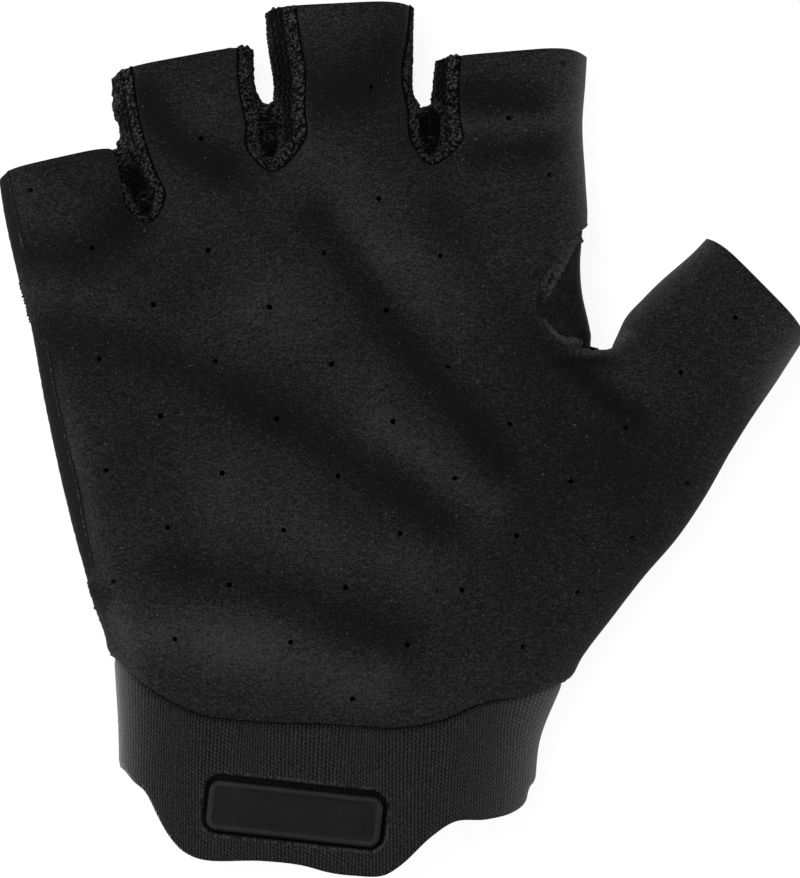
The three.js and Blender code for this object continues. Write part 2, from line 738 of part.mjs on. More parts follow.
const holeSides = 6;
const drills = holePlaces().map(({ x, y }) => {
  const drill = new THREE.CylinderGeometry(holeDiameter / 2, holeDiameter / 2, farAbove, holeSides);
  return drill.rotateX(Math.PI / 2).translate(x, y, seamHeight + farAbove / 2);
});
const palmPanel = palmWhole.subtract(solidFrom(mergeGeometries(drills)));

// The cuff with its pull tab, and the badge in its recess

const badgeCentre = new THREE.Vector2(-0.103 * cuffWidth, -0.93 * cuffLength);
function badgeShape(margin) {
  const w = badgeLength / 2 + margin;
  const h = badgeWidth / 2 + margin;
  const r = badgeCorner + margin;
  const shape = new THREE.Shape()
    .moveTo(-w + r, -h)
    .lineTo(w - r, -h)
    .absarc(w - r, -h + r, r, -Math.PI / 2, 0)
    .lineTo(w, h - r)
    .absarc(w - r, h - r, r, 0, Math.PI / 2)
    .lineTo(-w + r, h)
    .absarc(-w + r, h - r, r, Math.PI / 2, Math.PI)
    .lineTo(-w, -h + r)
    .absarc(-w + r, -h + r, r, Math.PI, 1.5 * Math.PI);
  return shape.getPoints(3).map((p) => p.rotateAround(new THREE.Vector2(), radians(badgeTilt)).add(badgeCentre));
}
function badgeSlab(margin, low, high) {
  const slab = surfaceSlab({
    width: badgeLength + 4 * badgeMargin + 2,
    length: badgeWidth + 4 * badgeMargin + 2,
    columns: 7,
    rows: 3,
    centre: badgeCentre,
    turn: badgeTilt,
    lowAt: (x, y) => topHeight(x, y) + low,
    highAt: (x, y) => topHeight(x, y) + high,
  });
  return slab.intersect(prism(badgeShape(margin)));
}
const recess = badgeSlab(badgeMargin, -badgeRecess, 2 * badgeThickness);
const badge = badgeSlab(0, -badgeRecess + seamGap, badgeThickness - badgeRecess + seamGap);

const cuff = shell
  .intersect(cuffSide)
  .subtract(pastEdge(tongueCurve, farBelow, farAbove))
  .subtract(pastEdge(backEdge, farBelow, seamHeight))
  .subtract(recess);

// Meshes

const suede = { color: 0x1d1d1e, roughness: 0.92, metalness: 0 };
const knit = { color: 0x1b1b1c, roughness: 0.85, metalness: 0 };
const terry = { color: 0x161617, roughness: 0.95, metalness: 0 };
const stretchKnit = { color: 0x232324, roughness: 0.82, metalness: 0 };
const smoothWeb = { color: 0x1a1a1b, roughness: 0.7, metalness: 0 };
const rubber = { color: 0x272728, roughness: 0.48, metalness: 0 };

const glove = new THREE.Group();
function addPiece(name, solid, finish) {
  const pieces = solid.decompose().sort((a, b) => b.volume() - a.volume());
  const mesh = pieces[0].getMesh();
  const geometry = new THREE.BufferGeometry()
    .setAttribute("position", new THREE.BufferAttribute(mesh.vertProperties, 3))
    .setIndex(new THREE.BufferAttribute(mesh.triVerts, 1));
  geometry.computeVertexNormals();
  const piece = new THREE.Mesh(geometry, new THREE.MeshStandardMaterial(finish));
  piece.name = name;
  glove.add(piece);
}

addPiece("palm_panel", palmPanel, suede);
addPiece("back_panel", backPanel, knit);
addPiece("thumb_back", without(thumbWhole, cutOut), terry);
addPiece("thumb_web", webSolid, smoothWeb);
for (const [i, gusset] of gussets.entries())
  addPiece(`gusset_${gusset.left}_${gusset.right}`, gussetSolids[i], terry);
addPiece("cuff", cuff, stretchKnit);
addPiece("cuff_badge", badge, rubber);

// The origin is the middle of the glove's box, on the surface that it lies on.
const box = new THREE.Box3().setFromObject(glove);
const centre = box.getCenter(new THREE.Vector3());
glove.position.set(-centre.x, -centre.y, -box.min.z);

export default glove;
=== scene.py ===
# %% [markdown]
# # A cycling glove, seen on its palm
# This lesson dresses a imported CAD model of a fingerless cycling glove. The model gives the frame: the
# place, the size and the name of each panel. Each panel is then made again as fine cloth, with its own
# seam, thickness and finish, on the same surface that the model was built from.

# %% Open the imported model
import math

import bmesh
import bpy
import numpy as np
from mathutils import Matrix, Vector


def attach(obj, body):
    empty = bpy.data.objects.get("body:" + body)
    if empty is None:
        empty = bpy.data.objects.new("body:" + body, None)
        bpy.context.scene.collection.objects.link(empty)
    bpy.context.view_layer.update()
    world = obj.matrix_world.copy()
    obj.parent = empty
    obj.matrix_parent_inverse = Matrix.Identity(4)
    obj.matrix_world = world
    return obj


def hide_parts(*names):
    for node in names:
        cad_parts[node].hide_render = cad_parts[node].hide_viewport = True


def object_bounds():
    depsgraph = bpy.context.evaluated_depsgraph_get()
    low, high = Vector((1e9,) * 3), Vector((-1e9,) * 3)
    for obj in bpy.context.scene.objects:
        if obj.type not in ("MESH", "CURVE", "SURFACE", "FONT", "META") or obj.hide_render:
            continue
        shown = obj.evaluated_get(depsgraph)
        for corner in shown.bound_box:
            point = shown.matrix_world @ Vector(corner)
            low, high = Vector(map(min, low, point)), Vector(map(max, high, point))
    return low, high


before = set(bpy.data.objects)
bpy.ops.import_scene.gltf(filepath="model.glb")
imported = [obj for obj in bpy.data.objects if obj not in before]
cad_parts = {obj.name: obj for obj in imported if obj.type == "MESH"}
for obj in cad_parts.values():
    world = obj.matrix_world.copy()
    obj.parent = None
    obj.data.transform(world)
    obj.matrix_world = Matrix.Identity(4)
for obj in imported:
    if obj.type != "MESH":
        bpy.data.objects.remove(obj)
cad_low, cad_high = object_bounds()
print("panels in the frame:", sorted(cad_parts))

# %% [markdown]
# ## The sizes of the glove
# These are the sizes of the CAD model, in millimetres, so both surfaces agree. Tables hold shares of
# them. The glove lies on the back of the hand: X runs from the little finger to the thumb, Y from the
# cuff to the fingers and Z up out of the palm.

# %% Sizes in millimetres
MM = 0.001
PALM_WIDTH = 110
PALM_LENGTH = 110
PALM_RISE = 12.5  # the middle of the palm above the side seams
BACK_DROP = 11  # the back below the side seams
SEAM_HEIGHT = 10
EDGE_ROUND = 30  # distance from the outline where the surface levels out
FINGER_WIDTH = 29.8
FINGER_LENGTH = 38.2
CORNER_SETBACK = 1.4  # the corners of an opening lie back by this
CUFF_WIDTH = 84
CUFF_LENGTH = 21
TONGUE_LENGTH = 9
CUFF_DEPTH_SHARE = 0.86
THUMB_LIFT = 5
SUEDE = 1.3
KNIT = 1.1
GUSSET_FOOT = 4.15  # height where the strips between the fingers begin

# %% Fingers, from the little finger to the thumb
# length and width are shares, tilt and skew are degrees to the right of straight up and straight across.
FINGERS = {
    "little": dict(length=0.458, width=0.806, tilt=-16.8, skew=-12.8),
    "ring": dict(length=0.623, width=0.98, tilt=-12.2, skew=-10.6),
    "middle": dict(length=0.73, width=1.0, tilt=-4.6, skew=-2.6),
    "index": dict(length=1.0, width=1.0, tilt=-2.0, skew=-4.4),
    "thumb": dict(length=0.778, width=0.879, tilt=38.0, skew=45.3),
}

# Each side of a finger bulges from the straight line between crotch and opening: (along, out).
BULGES = {
    ("little", -1): [(0.25, 0.01), (0.6, 0.015)],
    ("little", 1): [(0.5, 0.01)],
    ("ring", -1): [(0.25, 0.034), (0.55, 0.046), (0.8, 0.03)],
    ("ring", 1): [(0.35, 0.018), (0.58, -0.02), (0.8, -0.014)],
    ("middle", -1): [(0.24, -0.008), (0.38, -0.034), (0.65, -0.022)],
    ("middle", 1): [(0.2, 0.016), (0.34, -0.062), (0.6, -0.046), (0.85, -0.022)],
    ("index", -1): [(0.35, 0.018), (0.7, 0.014)],
    ("index", 1): [
        (0.09, -0.034), (0.2, -0.074), (0.32, -0.074), (0.42, -0.03),
        (0.55, -0.034), (0.74, -0.046), (0.88, -0.02),
    ],
    ("thumb", -1): [(0.09, 0.033), (0.22, 0.072), (0.38, 0.066), (0.54, 0.052), (0.82, 0.008)],
    ("thumb", 1): [(0.5, -0.004)],
}

# Ends of the knuckle line and the crotches: x of the palm's width, y of its length, slot of a finger.
KNUCKLES = [
    (-0.57, 0.762, 0), (-0.343, 0.898, 0.024), (-0.124, 1.002, 0.024),
    (0.16, 1.005, 0.024), (0.468, 0.643, 0.134), (0.69, 0.456, 0),
]

# %% Edges of the palm and of the cuff
ULNAR_EDGE = [(-0.551, 0.691), (-0.527, 0.558), (-0.489, 0.381), (-0.445, 0.218), (-0.407, 0.106)]
RADIAL_EDGE = [(0.648, 0.381), (0.6, 0.31), (0.539, 0.239), (0.484, 0.168), (0.431, 0.098)]
CUFF_SIDES = [
    (0.14, -0.52, 0.51), (-0.25, -0.515, 0.47), (-0.65, -0.514, 0.458),
    (-1.1, -0.508, 0.443), (-1.75, -0.504, 0.428),
]
CUFF_SEAM = [
    (-0.6, 0.118), (-0.528, 0.098), (-0.44, 0.044), (-0.325, 0.0), (-0.2, -0.013), (0.0, -0.019),
    (0.14, -0.025), (0.24, -0.011), (0.325, 0.016), (0.44, 0.032), (0.515, 0.05), (0.6, 0.072),
]
# Lower edge of the cuff's palm side: x of the cuff's width, drop of its length, tongue of the tab.
TONGUE_EDGE = [
    (-0.62, 0.44, 0), (-0.513, 0.51, 0), (-0.48, 0.64, 0), (-0.453, 0.73, 0), (-0.42, 0.98, 0),
    (-0.395, 1, 0.34), (-0.364, 1, 0.65), (-0.316, 1, 0.84), (-0.183, 1, 0.86), (-0.09, 1, 0.95),
    (-0.019, 1, 1.12), (0.035, 1, 1.18), (0.102, 1, 1.18), (0.146, 1, 0.94), (0.214, 1, 0.35),
    (0.272, 1, 0.01), (0.341, 0.99, 0), (0.404, 0.93, 0), (0.436, 0.84, 0), (0.455, 0.66, 0),
    (0.62, 0.6, 0),
]
BACK_EDGE = [(-1.0, -0.35), (-0.5, -0.5), (0.45, -0.8), (1.0, -0.8)]

# %% Seams and folds
# How far each gusset's seam lies inside its two fingers, at the opening and at the crotch, in shares
# of a finger's width, and the width of its terry roll in millimetres.
GUSSETS = {
    "little_ring": dict(left=(0.02, 0.107), right=(0.164, 0.141), below=0.114, roll=1.7),
    "ring_middle": dict(left=(0.117, 0.141), right=(0.225, 0.232), below=0.164, roll=2.5),
    "middle_index": dict(left=(0.017, 0.114), right=(0.178, 0.208), below=0.128, roll=2.3),
}
WEB_SEAM = [
    (0.47, 0.87), (0.434, 0.855), (0.405, 0.834), (0.383, 0.8), (0.358, 0.765), (0.35, 0.73),
    (0.353, 0.7), (0.374, 0.671), (0.401, 0.652), (0.44, 0.646), (0.47, 0.6445),
]
# The knit back climbs up the little finger's side by these shares of the palm's rise.
ULNAR_RISE = [
    (-0.3, 0.06), (0.225, 0.06), (0.255, 0.4), (0.4, 0.48), (0.64, 0.42),
    (0.7, 0.14), (0.76, 0.14), (0.82, 0.42), (1.2, 0.4),
]
RADIAL_RISE = -1  # mm above the side line, as the next one
THUMB_INNER_RISE = 2.8
THUMB_SEAM_START = 0.3  # mm from the crotch to the seam across the thumb's root
THUMB_SEAM_EASE = 6  # mm past it over which the side seam changes its height
# Valleys of the palm: from x, y, to x, y, width of the palm's width, depth of the palm's rise.
FOLDS = [
    (-0.03, 0.87, 0.29, 0.46, 0.055, 0.12), (-0.48, 0.64, -0.1, 0.51, 0.064, 0.09),
    (-0.1, 0.51, 0.25, 0.33, 0.064, 0.11), (-0.2, 0.27, 0.37, 0.21, 0.073, 0.08),
    (-0.54, 0.86, -0.38, 0.83, 0.064, 0.08), (-0.31, 1.06, -0.2, 0.97, 0.055, 0.08),
    (0.23, 1.09, 0.36, 1.07, 0.055, 0.07), (0.4, 0.63, 0.5, 0.53, 0.032, 0.11),
]

# %% [markdown]
# ## Smooth lines
# A sewing pattern is drawn with a few chosen points and a smooth line through them. A curve object
# could draw it, but here the distance from a line is needed, so a line is an array of points. It is the
# Catmull-Rom curve that the CAD model uses, so a seam here runs where the seam of the model runs.


# %% Lines through points
def smooth_line(points, steps=12):
    """A smooth line through plan points, with a number of steps between each two."""
    p = np.array(points, float)
    p = np.vstack([2 * p[0] - p[1], p, 2 * p[-1] - p[-2]])
    t = np.linspace(0, 1, steps, endpoint=False)[:, None]
    spans = []
    for a, b, c, d in zip(p, p[1:], p[2:], p[3:]):
        u, v, w = (math.sqrt(np.linalg.norm(end - start)) for start, end in ((a, b), (b, c), (c, d)))
        leave = ((b - a) / u - (c - a) / (u + v) + (c - b) / v) * v
        arrive = ((c - b) / v - (d - b) / (v + w) + (d - c) / w) * v
        blend = (2 * t**3 - 3 * t**2 + 1) * b + (t**3 - 2 * t**2 + t) * leave
        spans.append(blend + (3 * t**2 - 2 * t**3) * c + (t**3 - t**2) * arrive)
    return np.vstack([*spans, p[-2:-1]])


def along(line, t):
    """Points at shares t of a line's length."""
    steps = np.linalg.norm(np.diff(line, axis=0), axis=1)
    share = np.concatenate([[0], np.cumsum(steps)]) / steps.sum()
    return np.stack([np.interp(t, share, line[:, axis]) for axis in (0, 1)], axis=-1)


def heading(degrees):
    """A direction in plan, in degrees to the right of +Y."""
    return np.array([math.sin(math.radians(degrees)), math.cos(math.radians(degrees))])


def smooth(t):
    """Eases from 0 to 1."""
    t = np.clip(t, 0, 1)
    return t * t * (3 - 2 * t)


def hump(distance, width):
    """A soft hump: 1 at distance 0, and gone at about twice the width."""
    return np.exp(-((distance / width) ** 2))


def piece_distance(x, y, start, end):
    """Distance of plan points from a straight piece of a line."""
    (ax, ay), (bx, by) = start, end
    ux, uy = bx - ax, by - ay
    t = np.clip(((x - ax) * ux + (y - ay) * uy) / max(ux * ux + uy * uy, 1e-9), 0, 1)
    return np.hypot(x - ax - ux * t, y - ay - uy * t)


# %% The outline of every finger
knuckles = np.array([(x * PALM_WIDTH, y * PALM_LENGTH) for x, y, _ in KNUCKLES])
slots = [slot * FINGER_WIDTH for _, _, slot in KNUCKLES]


def finger_side(name, side, start, end):
    """One side of a finger, from its crotch to its opening."""
    chord = end - start
    outward = side * np.array([chord[1], -chord[0]]) / np.linalg.norm(chord)
    width = FINGERS[name]["width"]
    bulges = [start + chord * t + outward * out * width for t, out in BULGES[name, side]]
    return smooth_line([start, *bulges, end])


for i, (name, finger) in enumerate(FINGERS.items()):
    finger["length"] *= FINGER_LENGTH
    finger["width"] *= FINGER_WIDTH
    finger["axis"] = heading(finger["tilt"])
    finger["left_base"] = knuckles[i] + np.array([slots[i] / 2, 0])
    finger["right_base"] = knuckles[i + 1] - np.array([slots[i + 1] / 2, 0])
    finger["tip"] = (knuckles[i] + knuckles[i + 1]) / 2 + finger["axis"] * finger["length"]
    across = heading(finger["skew"] + 90) * finger["width"] / 2
    finger["left"] = finger_side(name, -1, finger["left_base"], finger["tip"] - across)
    finger["right"] = finger_side(name, 1, finger["right_base"], finger["tip"] + across)
    print(name, "opening at", finger["tip"].round(1))

# %% The outline of palm and cuff
cuff_left = [(left * CUFF_WIDTH, y * CUFF_LENGTH) for y, left, _ in reversed(CUFF_SIDES)]
cuff_right = [(right * CUFF_WIDTH, y * CUFF_LENGTH) for y, _, right in reversed(CUFF_SIDES)]
palm_scale = np.array([PALM_WIDTH, PALM_LENGTH])
left_edge = smooth_line([*cuff_left, *(np.array(ULNAR_EDGE[::-1]) * palm_scale), knuckles[0]])
right_edge = smooth_line([*cuff_right, *(np.array(RADIAL_EDGE[::-1]) * palm_scale), knuckles[5]])
EDGE_PIECES = 96  # straight pieces of one edge of the palm, and of one side of a finger
FINGER_PIECES = 48


def outline_pieces(line, count, run_on_start=False, run_on_end=False):
    """Straight pieces of an edge, which run on past an opening so that the crown keeps its height."""
    points = along(line, np.linspace(0, 1, count + 1))
    run_on = PALM_WIDTH / 4
    if run_on_start:
        away = points[0] - points[1]
        points = np.vstack([points[0] + away * run_on / np.linalg.norm(away), points])
    if run_on_end:
        away = points[-1] - points[-2]
        points = np.vstack([points, points[-1] + away * run_on / np.linalg.norm(away)])
    return np.hstack([points[:-1], points[1:]])


outline = [outline_pieces(edge, EDGE_PIECES, run_on_start=True) for edge in (left_edge, right_edge)]
for finger in FINGERS.values():
    outline += [outline_pieces(finger[side], FINGER_PIECES, run_on_end=True) for side in ("left", "right")]
outline = np.vstack(outline)
print("outline pieces:", len(outline))

# %% [markdown]
# ## The surface of the glove
# A filled glove is round along every edge and levels out towards the middle of the palm. It could be
# sculpted, or blown up by a cloth simulation, but neither would lie on the CAD model's surface. One
# formula does: a smooth distance from the outline, and a crown that climbs with it. Each straight
# piece of the outline adds the integral of one over the cube of the distance, so the result is the
# true distance near an edge and has no ridge between two edges.


# %% Smooth distance and height
def edge_distance(x, y):
    """Smooth distance from the outline, for arrays of plan points."""
    total = np.zeros_like(x)
    for ax, ay, bx, by in outline:
        length = math.hypot(bx - ax, by - ay)
        ux, uy = (bx - ax) / length, (by - ay) / length
        start = (ax - x) * ux + (ay - y) * uy
        off = np.maximum(1e-4, np.abs((ax - x) * uy - (ay - y) * ux))
        end = start + length
        total += (end / np.hypot(off, end) - start / np.hypot(off, start)) / off**2
    return np.sqrt(2 / total)


def crown(distance):
    """Share of the full height at a distance from the outline."""
    level = 1 - np.minimum(distance / EDGE_ROUND, 1)
    return np.sqrt(np.maximum(0, 1 - level**2))


thumb = FINGERS["thumb"]


def side_line(x, y):
    """Height of the side seams, which climb along the thumb."""
    start = (thumb["left_base"] + thumb["right_base"]) / 2
    t = ((x - start[0]) * thumb["axis"][0] + (y - start[1]) * thumb["axis"][1]) / thumb["length"]
    beside = smooth((x - thumb["left_base"][0] + PALM_WIDTH * 0.06) / (PALM_WIDTH * 0.12))
    return SEAM_HEIGHT + THUMB_LIFT * smooth((t + 0.45) / 1.45) * beside


def depth_share(y):
    """The cuff is less deep than the palm."""
    return CUFF_DEPTH_SHARE + (1 - CUFF_DEPTH_SHARE) * smooth(y / (PALM_LENGTH * 0.25) + 0.5)


def fold_depth(x, y):
    """Depth of the palm's soft folds."""
    depth = np.zeros_like(x)
    for x0, y0, x1, y1, width, deep in FOLDS:
        start, end = (x0 * PALM_WIDTH, y0 * PALM_LENGTH), (x1 * PALM_WIDTH, y1 * PALM_LENGTH)
        off = piece_distance(x, y, start, end)
        depth += deep * PALM_RISE * hump(off, width * PALM_WIDTH)
    return depth


def palm_height(x, y):
    """Height of the outer surface on the palm side."""
    return side_line(x, y) + crown(edge_distance(x, y)) * (PALM_RISE * depth_share(y) - fold_depth(x, y))


def back_height(x, y):
    """Height of the outer surface on the back, flat where it rests."""
    return np.maximum(0, side_line(x, y) - crown(edge_distance(x, y)) * BACK_DROP * depth_share(y))


# %% [markdown]
# ## One fine sheet for the whole glove
# The panels could be modelled one by one, but then each seam would have to be matched by hand. So one
# sheet is made first and all panels are cut from it. It is a grid for the palm and one for each
# finger, once for the palm side and once for the back, merged where they meet. Each grid comes from
# bmesh's grid operator and its points are then moved to their places. Two numbers ride along with each
# point, for the direction of the knit.

# %% Plan of the sheet
COLUMNS = 34
PALM_ROWS = 180
ROW_SPREAD = 1.1  # above 1, the palm's rows stand closer towards the fingers
ROW = 0.8  # mm between rows of a finger
MERGE = 0.01  # mm: points closer than this become one


def cluster(t):
    """Moves shares towards both ends, where the cloth turns down the side."""
    return (1 - np.cos(math.pi * t)) / 2


def palm_plan():
    """Plan points of palm and cuff, with the share of each column and row."""
    base = np.linspace(0, 1, COLUMNS + 1)
    spans = np.array([finger["right_base"][0] - finger["left_base"][0] for finger in FINGERS.values()])
    whole = spans.sum() + sum(slots)
    top, share, start = [], [], 0.0
    for finger, span, slot in zip(FINGERS.values(), spans / whole, np.array(slots[1:]) / whole):
        base_line = finger["right_base"] - finger["left_base"]
        top.append(finger["left_base"] + base_line * cluster(base)[:, None])
        share.append(start + span * base)
        start += span + slot
    top, share = np.vstack(top), np.concatenate(share)
    t = 1 - np.linspace(0, 1, PALM_ROWS + 1)[::-1] ** ROW_SPREAD
    t = t[:, None, None]
    s = share[None, :, None]
    left, right = along(left_edge, t[:, 0, 0])[:, None], along(right_edge, t[:, 0, 0])[:, None]
    low, high = left_edge[0], right_edge[0]
    bottom = low + (high - low) * ((s + cluster(s)) / 2)
    corners = (low + (high - low) * s) * (1 - t) + (knuckles[0] + (knuckles[5] - knuckles[0]) * s) * t
    plan = bottom * (1 - t) + top[None] * t + left * (1 - s) + right * s - corners
    return plan, share


def finger_plan(finger, rows):
    """Plan points of one finger from its knuckles to its opening."""
    local = cluster(np.linspace(0, 1, COLUMNS + 1))
    t = np.linspace(0, 1, rows + 1)[:, None]
    t = t - CORNER_SETBACK / finger["length"] * np.abs(2 * local - 1) ** 6 * t**3
    left, right = along(finger["left"], t), along(finger["right"], t)
    return left + (right - left) * local[:, None]


# %% Build the sheet
def points_of(bm):
    """The place of every point of a mesh, in rows of x, y and z."""
    return np.array([v.co for v in bm.verts])


def lay_grid(bm, plan, height, seam, knit_across, turned):
    """Adds a grid over plan points. Where seam is true, it lies on the side line."""
    rows, columns = plan.shape[0] - 1, plan.shape[1] - 1
    made = bmesh.ops.create_grid(bm, x_segments=columns, y_segments=rows, size=1)["verts"]
    x, y = plan[..., 0], plan[..., 1]
    z = np.where(seam, side_line(x, y), height(x, y))
    for vert, spot, u in zip(made, np.dstack([x, y, z]).reshape(-1, 3), knit_across.ravel()):
        vert.co = spot
        vert[bm.verts.layers.float["knit_u"]] = u
        vert[bm.verts.layers.float["knit_v"]] = spot[1]
    if turned:
        bmesh.ops.reverse_faces(bm, faces=list({face for vert in made for face in vert.link_faces}))


def whole_sheet():
    """The outer surface of the whole glove, open at the cuff and at the fingers."""
    bm = bmesh.new()
    bm.verts.layers.float.new("knit_u")
    bm.verts.layers.float.new("knit_v")
    plan, share = palm_plan()
    seam = np.zeros(plan.shape[:2], bool)
    seam[:, [0, -1]] = True
    ends = np.arange(len(share)) % (COLUMNS + 1)
    seam[-1] = (ends == 0) | (ends == COLUMNS)
    for height, turned in ((palm_height, False), (back_height, True)):
        lay_grid(bm, plan, height, seam, np.broadcast_to(share * CUFF_WIDTH, seam.shape), turned)
        for i, finger in enumerate(FINGERS.values()):
            tube = finger_plan(finger, round(finger["length"] / ROW))
            sides = np.zeros(tube.shape[:2], bool)
            sides[:, [0, -1]] = True
            columns = slice(i * (COLUMNS + 1), (i + 1) * (COLUMNS + 1))
            knit_across = np.broadcast_to(share[columns] * CUFF_WIDTH, sides.shape)
            lay_grid(bm, tube, height, sides, knit_across, turned)
    bmesh.ops.remove_doubles(bm, verts=bm.verts[:], dist=MERGE)
    return bm


sheet = whole_sheet()
places = points_of(sheet)
print("sheet:", len(sheet.verts), "points, size", (places.max(0) - places.min(0)).round(2))

# %% [markdown]
# ## Cutting panels out of the sheet
# A tailor marks a seam on the cloth and cuts along it. A boolean could cut, but it is meant for closed
# solids, and this sheet is open. Here a seam is a number at every point of the sheet: millimetres
# inside the panel where it is positive, outside where it is negative. Edges that cross zero are split
# there, so the cut follows the seam smoothly and not the grid.


# %% Signed distances in plan
def inside_outline(points):
    """Gives a function that measures how far plan points lie inside a closed outline."""
    start = np.array(points)
    end = np.roll(start, -1, axis=0)

    def measure(x, y):
        """Millimetres inside the outline, negative outside it."""
        nearest = np.full_like(x, 1e9)
        odd = np.zeros(x.shape, bool)
        for (ax, ay), (bx, by) in zip(start, end):
            nearest = np.minimum(nearest, piece_distance(x, y, (ax, ay), (bx, by)))
            if by != ay:
                odd ^= ((ay > y) != (by > y)) & (x < (bx - ax) * (y - ay) / (by - ay) + ax)
        return np.where(odd, nearest, -nearest)

    return measure


def gusset_outline(left, right, gusset):
    """Plan outline of the strip between two fingers, a long U that runs on past the openings."""
    shares = np.array([1.25, 1, 0.75, 0.5, 0.25, 0.05])

    def seam_points(finger, line, strip, side):
        """The strip's seam along one side of a finger."""
        inset = (strip[1] + (strip[0] - strip[1]) * smooth(shares)) * FINGER_WIDTH
        inward = side * np.array([-finger["axis"][1], finger["axis"][0]])
        beyond = np.maximum(0, shares - 1)[:, None] * finger["axis"] * finger["length"]
        return along(line, np.minimum(shares, 1)) + beyond + inset[:, None] * inward

    down = (left["axis"] + right["axis"]) / 2
    crotch = (left["right_base"] + right["left_base"]) / 2
    foot = crotch - down / np.linalg.norm(down) * gusset["below"] * FINGER_WIDTH
    left_seam = seam_points(left, left["right"], gusset["left"], 1)
    right_seam = seam_points(right, right["left"], gusset["right"], -1)
    return smooth_line([*left_seam, foot, *right_seam[::-1]], 8)


def below_line(line):
    """Gives a function that measures how far plan points lie below a line that runs along X."""
    reach = 2 * PALM_WIDTH
    right, left = (line[-1][0] + reach, line[-1][1]), (line[0][0] - reach, line[0][1])
    return inside_outline([*line, right, (reach, -reach), (-reach, -reach), left])


# %% Every seam as a measure
finger_pairs = list(zip(FINGERS.values(), list(FINGERS.values())[1:]))
in_gusset = {
    name: inside_outline(gusset_outline(left, right, gusset))
    for (name, gusset), (left, right) in zip(GUSSETS.items(), finger_pairs)
}
in_web = inside_outline(smooth_line(np.array(WEB_SEAM) * palm_scale, 8))
cuff_seam_line = smooth_line([(x * CUFF_WIDTH, y * PALM_LENGTH) for x, y in CUFF_SEAM], 8)
in_cuff = below_line(cuff_seam_line)
tongue_line = smooth_line(
    [(x * CUFF_WIDTH, -drop * CUFF_LENGTH - tongue * TONGUE_LENGTH) for x, drop, tongue in TONGUE_EDGE], 6
)
past_tongue = below_line(tongue_line)
past_back_edge = below_line([(x * CUFF_WIDTH, y * CUFF_LENGTH) for x, y in BACK_EDGE])

base_across = thumb["right_base"] - thumb["left_base"]
base_across = base_across / np.linalg.norm(base_across)
thumb_start = thumb["left_base"] - base_across * THUMB_SEAM_START
thumb_end = thumb["right_base"] + base_across * thumb["width"] / 2
thumb_far = thumb["axis"] * (thumb["length"] + thumb["width"])
in_thumb = inside_outline([thumb_start, thumb_end, thumb_end + thumb_far, thumb_start + thumb_far])


def palm_seam_height(x, y):
    """Height of the seam between palm and back."""
    rise_y, rise = np.array(ULNAR_RISE).T
    inner_side = smooth((y / PALM_LENGTH - 0.76) / 0.06) * smooth((x / PALM_WIDTH + 0.52) / 0.04)
    ulnar = np.interp(y / PALM_LENGTH, rise_y, rise) * PALM_RISE * (1 - inner_side)
    body = ulnar + (RADIAL_RISE - ulnar) * smooth((x / PALM_WIDTH + 0.45) / 0.9)
    aside = (x - thumb["tip"][0]) * thumb["axis"][1] - (y - thumb["tip"][1]) * thumb["axis"][0]
    across = smooth(aside / thumb["width"] + 0.5)
    on_thumb = THUMB_INNER_RISE + (RADIAL_RISE - THUMB_INNER_RISE) * across
    return side_line(x, y) + body + (on_thumb - body) * smooth(in_thumb(x, y) / THUMB_SEAM_EASE)


# %% Regions of the panels
def strip_region(in_plan):
    """A strip between two fingers: inside its outline and above the back panel."""
    return lambda x, y, z: np.minimum(in_plan(x, y), z - GUSSET_FOOT)


strips = {name: strip_region(measure) for name, measure in {**in_gusset, "web": in_web}.items()}
print("strips:", list(strips))


def outside_strips(x, y, z):
    """Distance outside every strip and the web."""
    return -np.max([region(x, y, z) for region in strips.values()], axis=0)


def palm_region(x, y, z):
    """Inside the suede palm."""
    return np.min([outside_strips(x, y, z), z - palm_seam_height(x, y), -in_cuff(x, y)], axis=0)


def back_region(x, y, z):
    """Inside the knit back."""
    under = palm_seam_height(x, y) - z
    return np.min([outside_strips(x, y, z), under, -in_cuff(x, y), -in_thumb(x, y)], axis=0)


def thumb_back_region(x, y, z):
    """Inside the terry back of the thumb."""
    under = palm_seam_height(x, y) - z
    return np.min([outside_strips(x, y, z), under, in_thumb(x, y)], axis=0)


def cuff_region(x, y, z):
    """Inside the cuff, with its tab on the palm side and its straight edge on the back."""
    back_edge = np.maximum(-past_back_edge(x, y), z - SEAM_HEIGHT)
    return np.min([in_cuff(x, y), -past_tongue(x, y), back_edge], axis=0)


# %% Distance from a line
def line_distance(line, x, y):
    """Distance of plan points from an open line."""
    nearest = np.full_like(x, 1e9)
    for start, end in zip(line[:-1], line[1:]):
        nearest = np.minimum(nearest, piece_distance(x, y, start, end))
    return nearest


# %% Trim a sheet along a seam
def measured(bm, region):
    """The measure of a region at every point of a mesh."""
    return region(*points_of(bm).T)


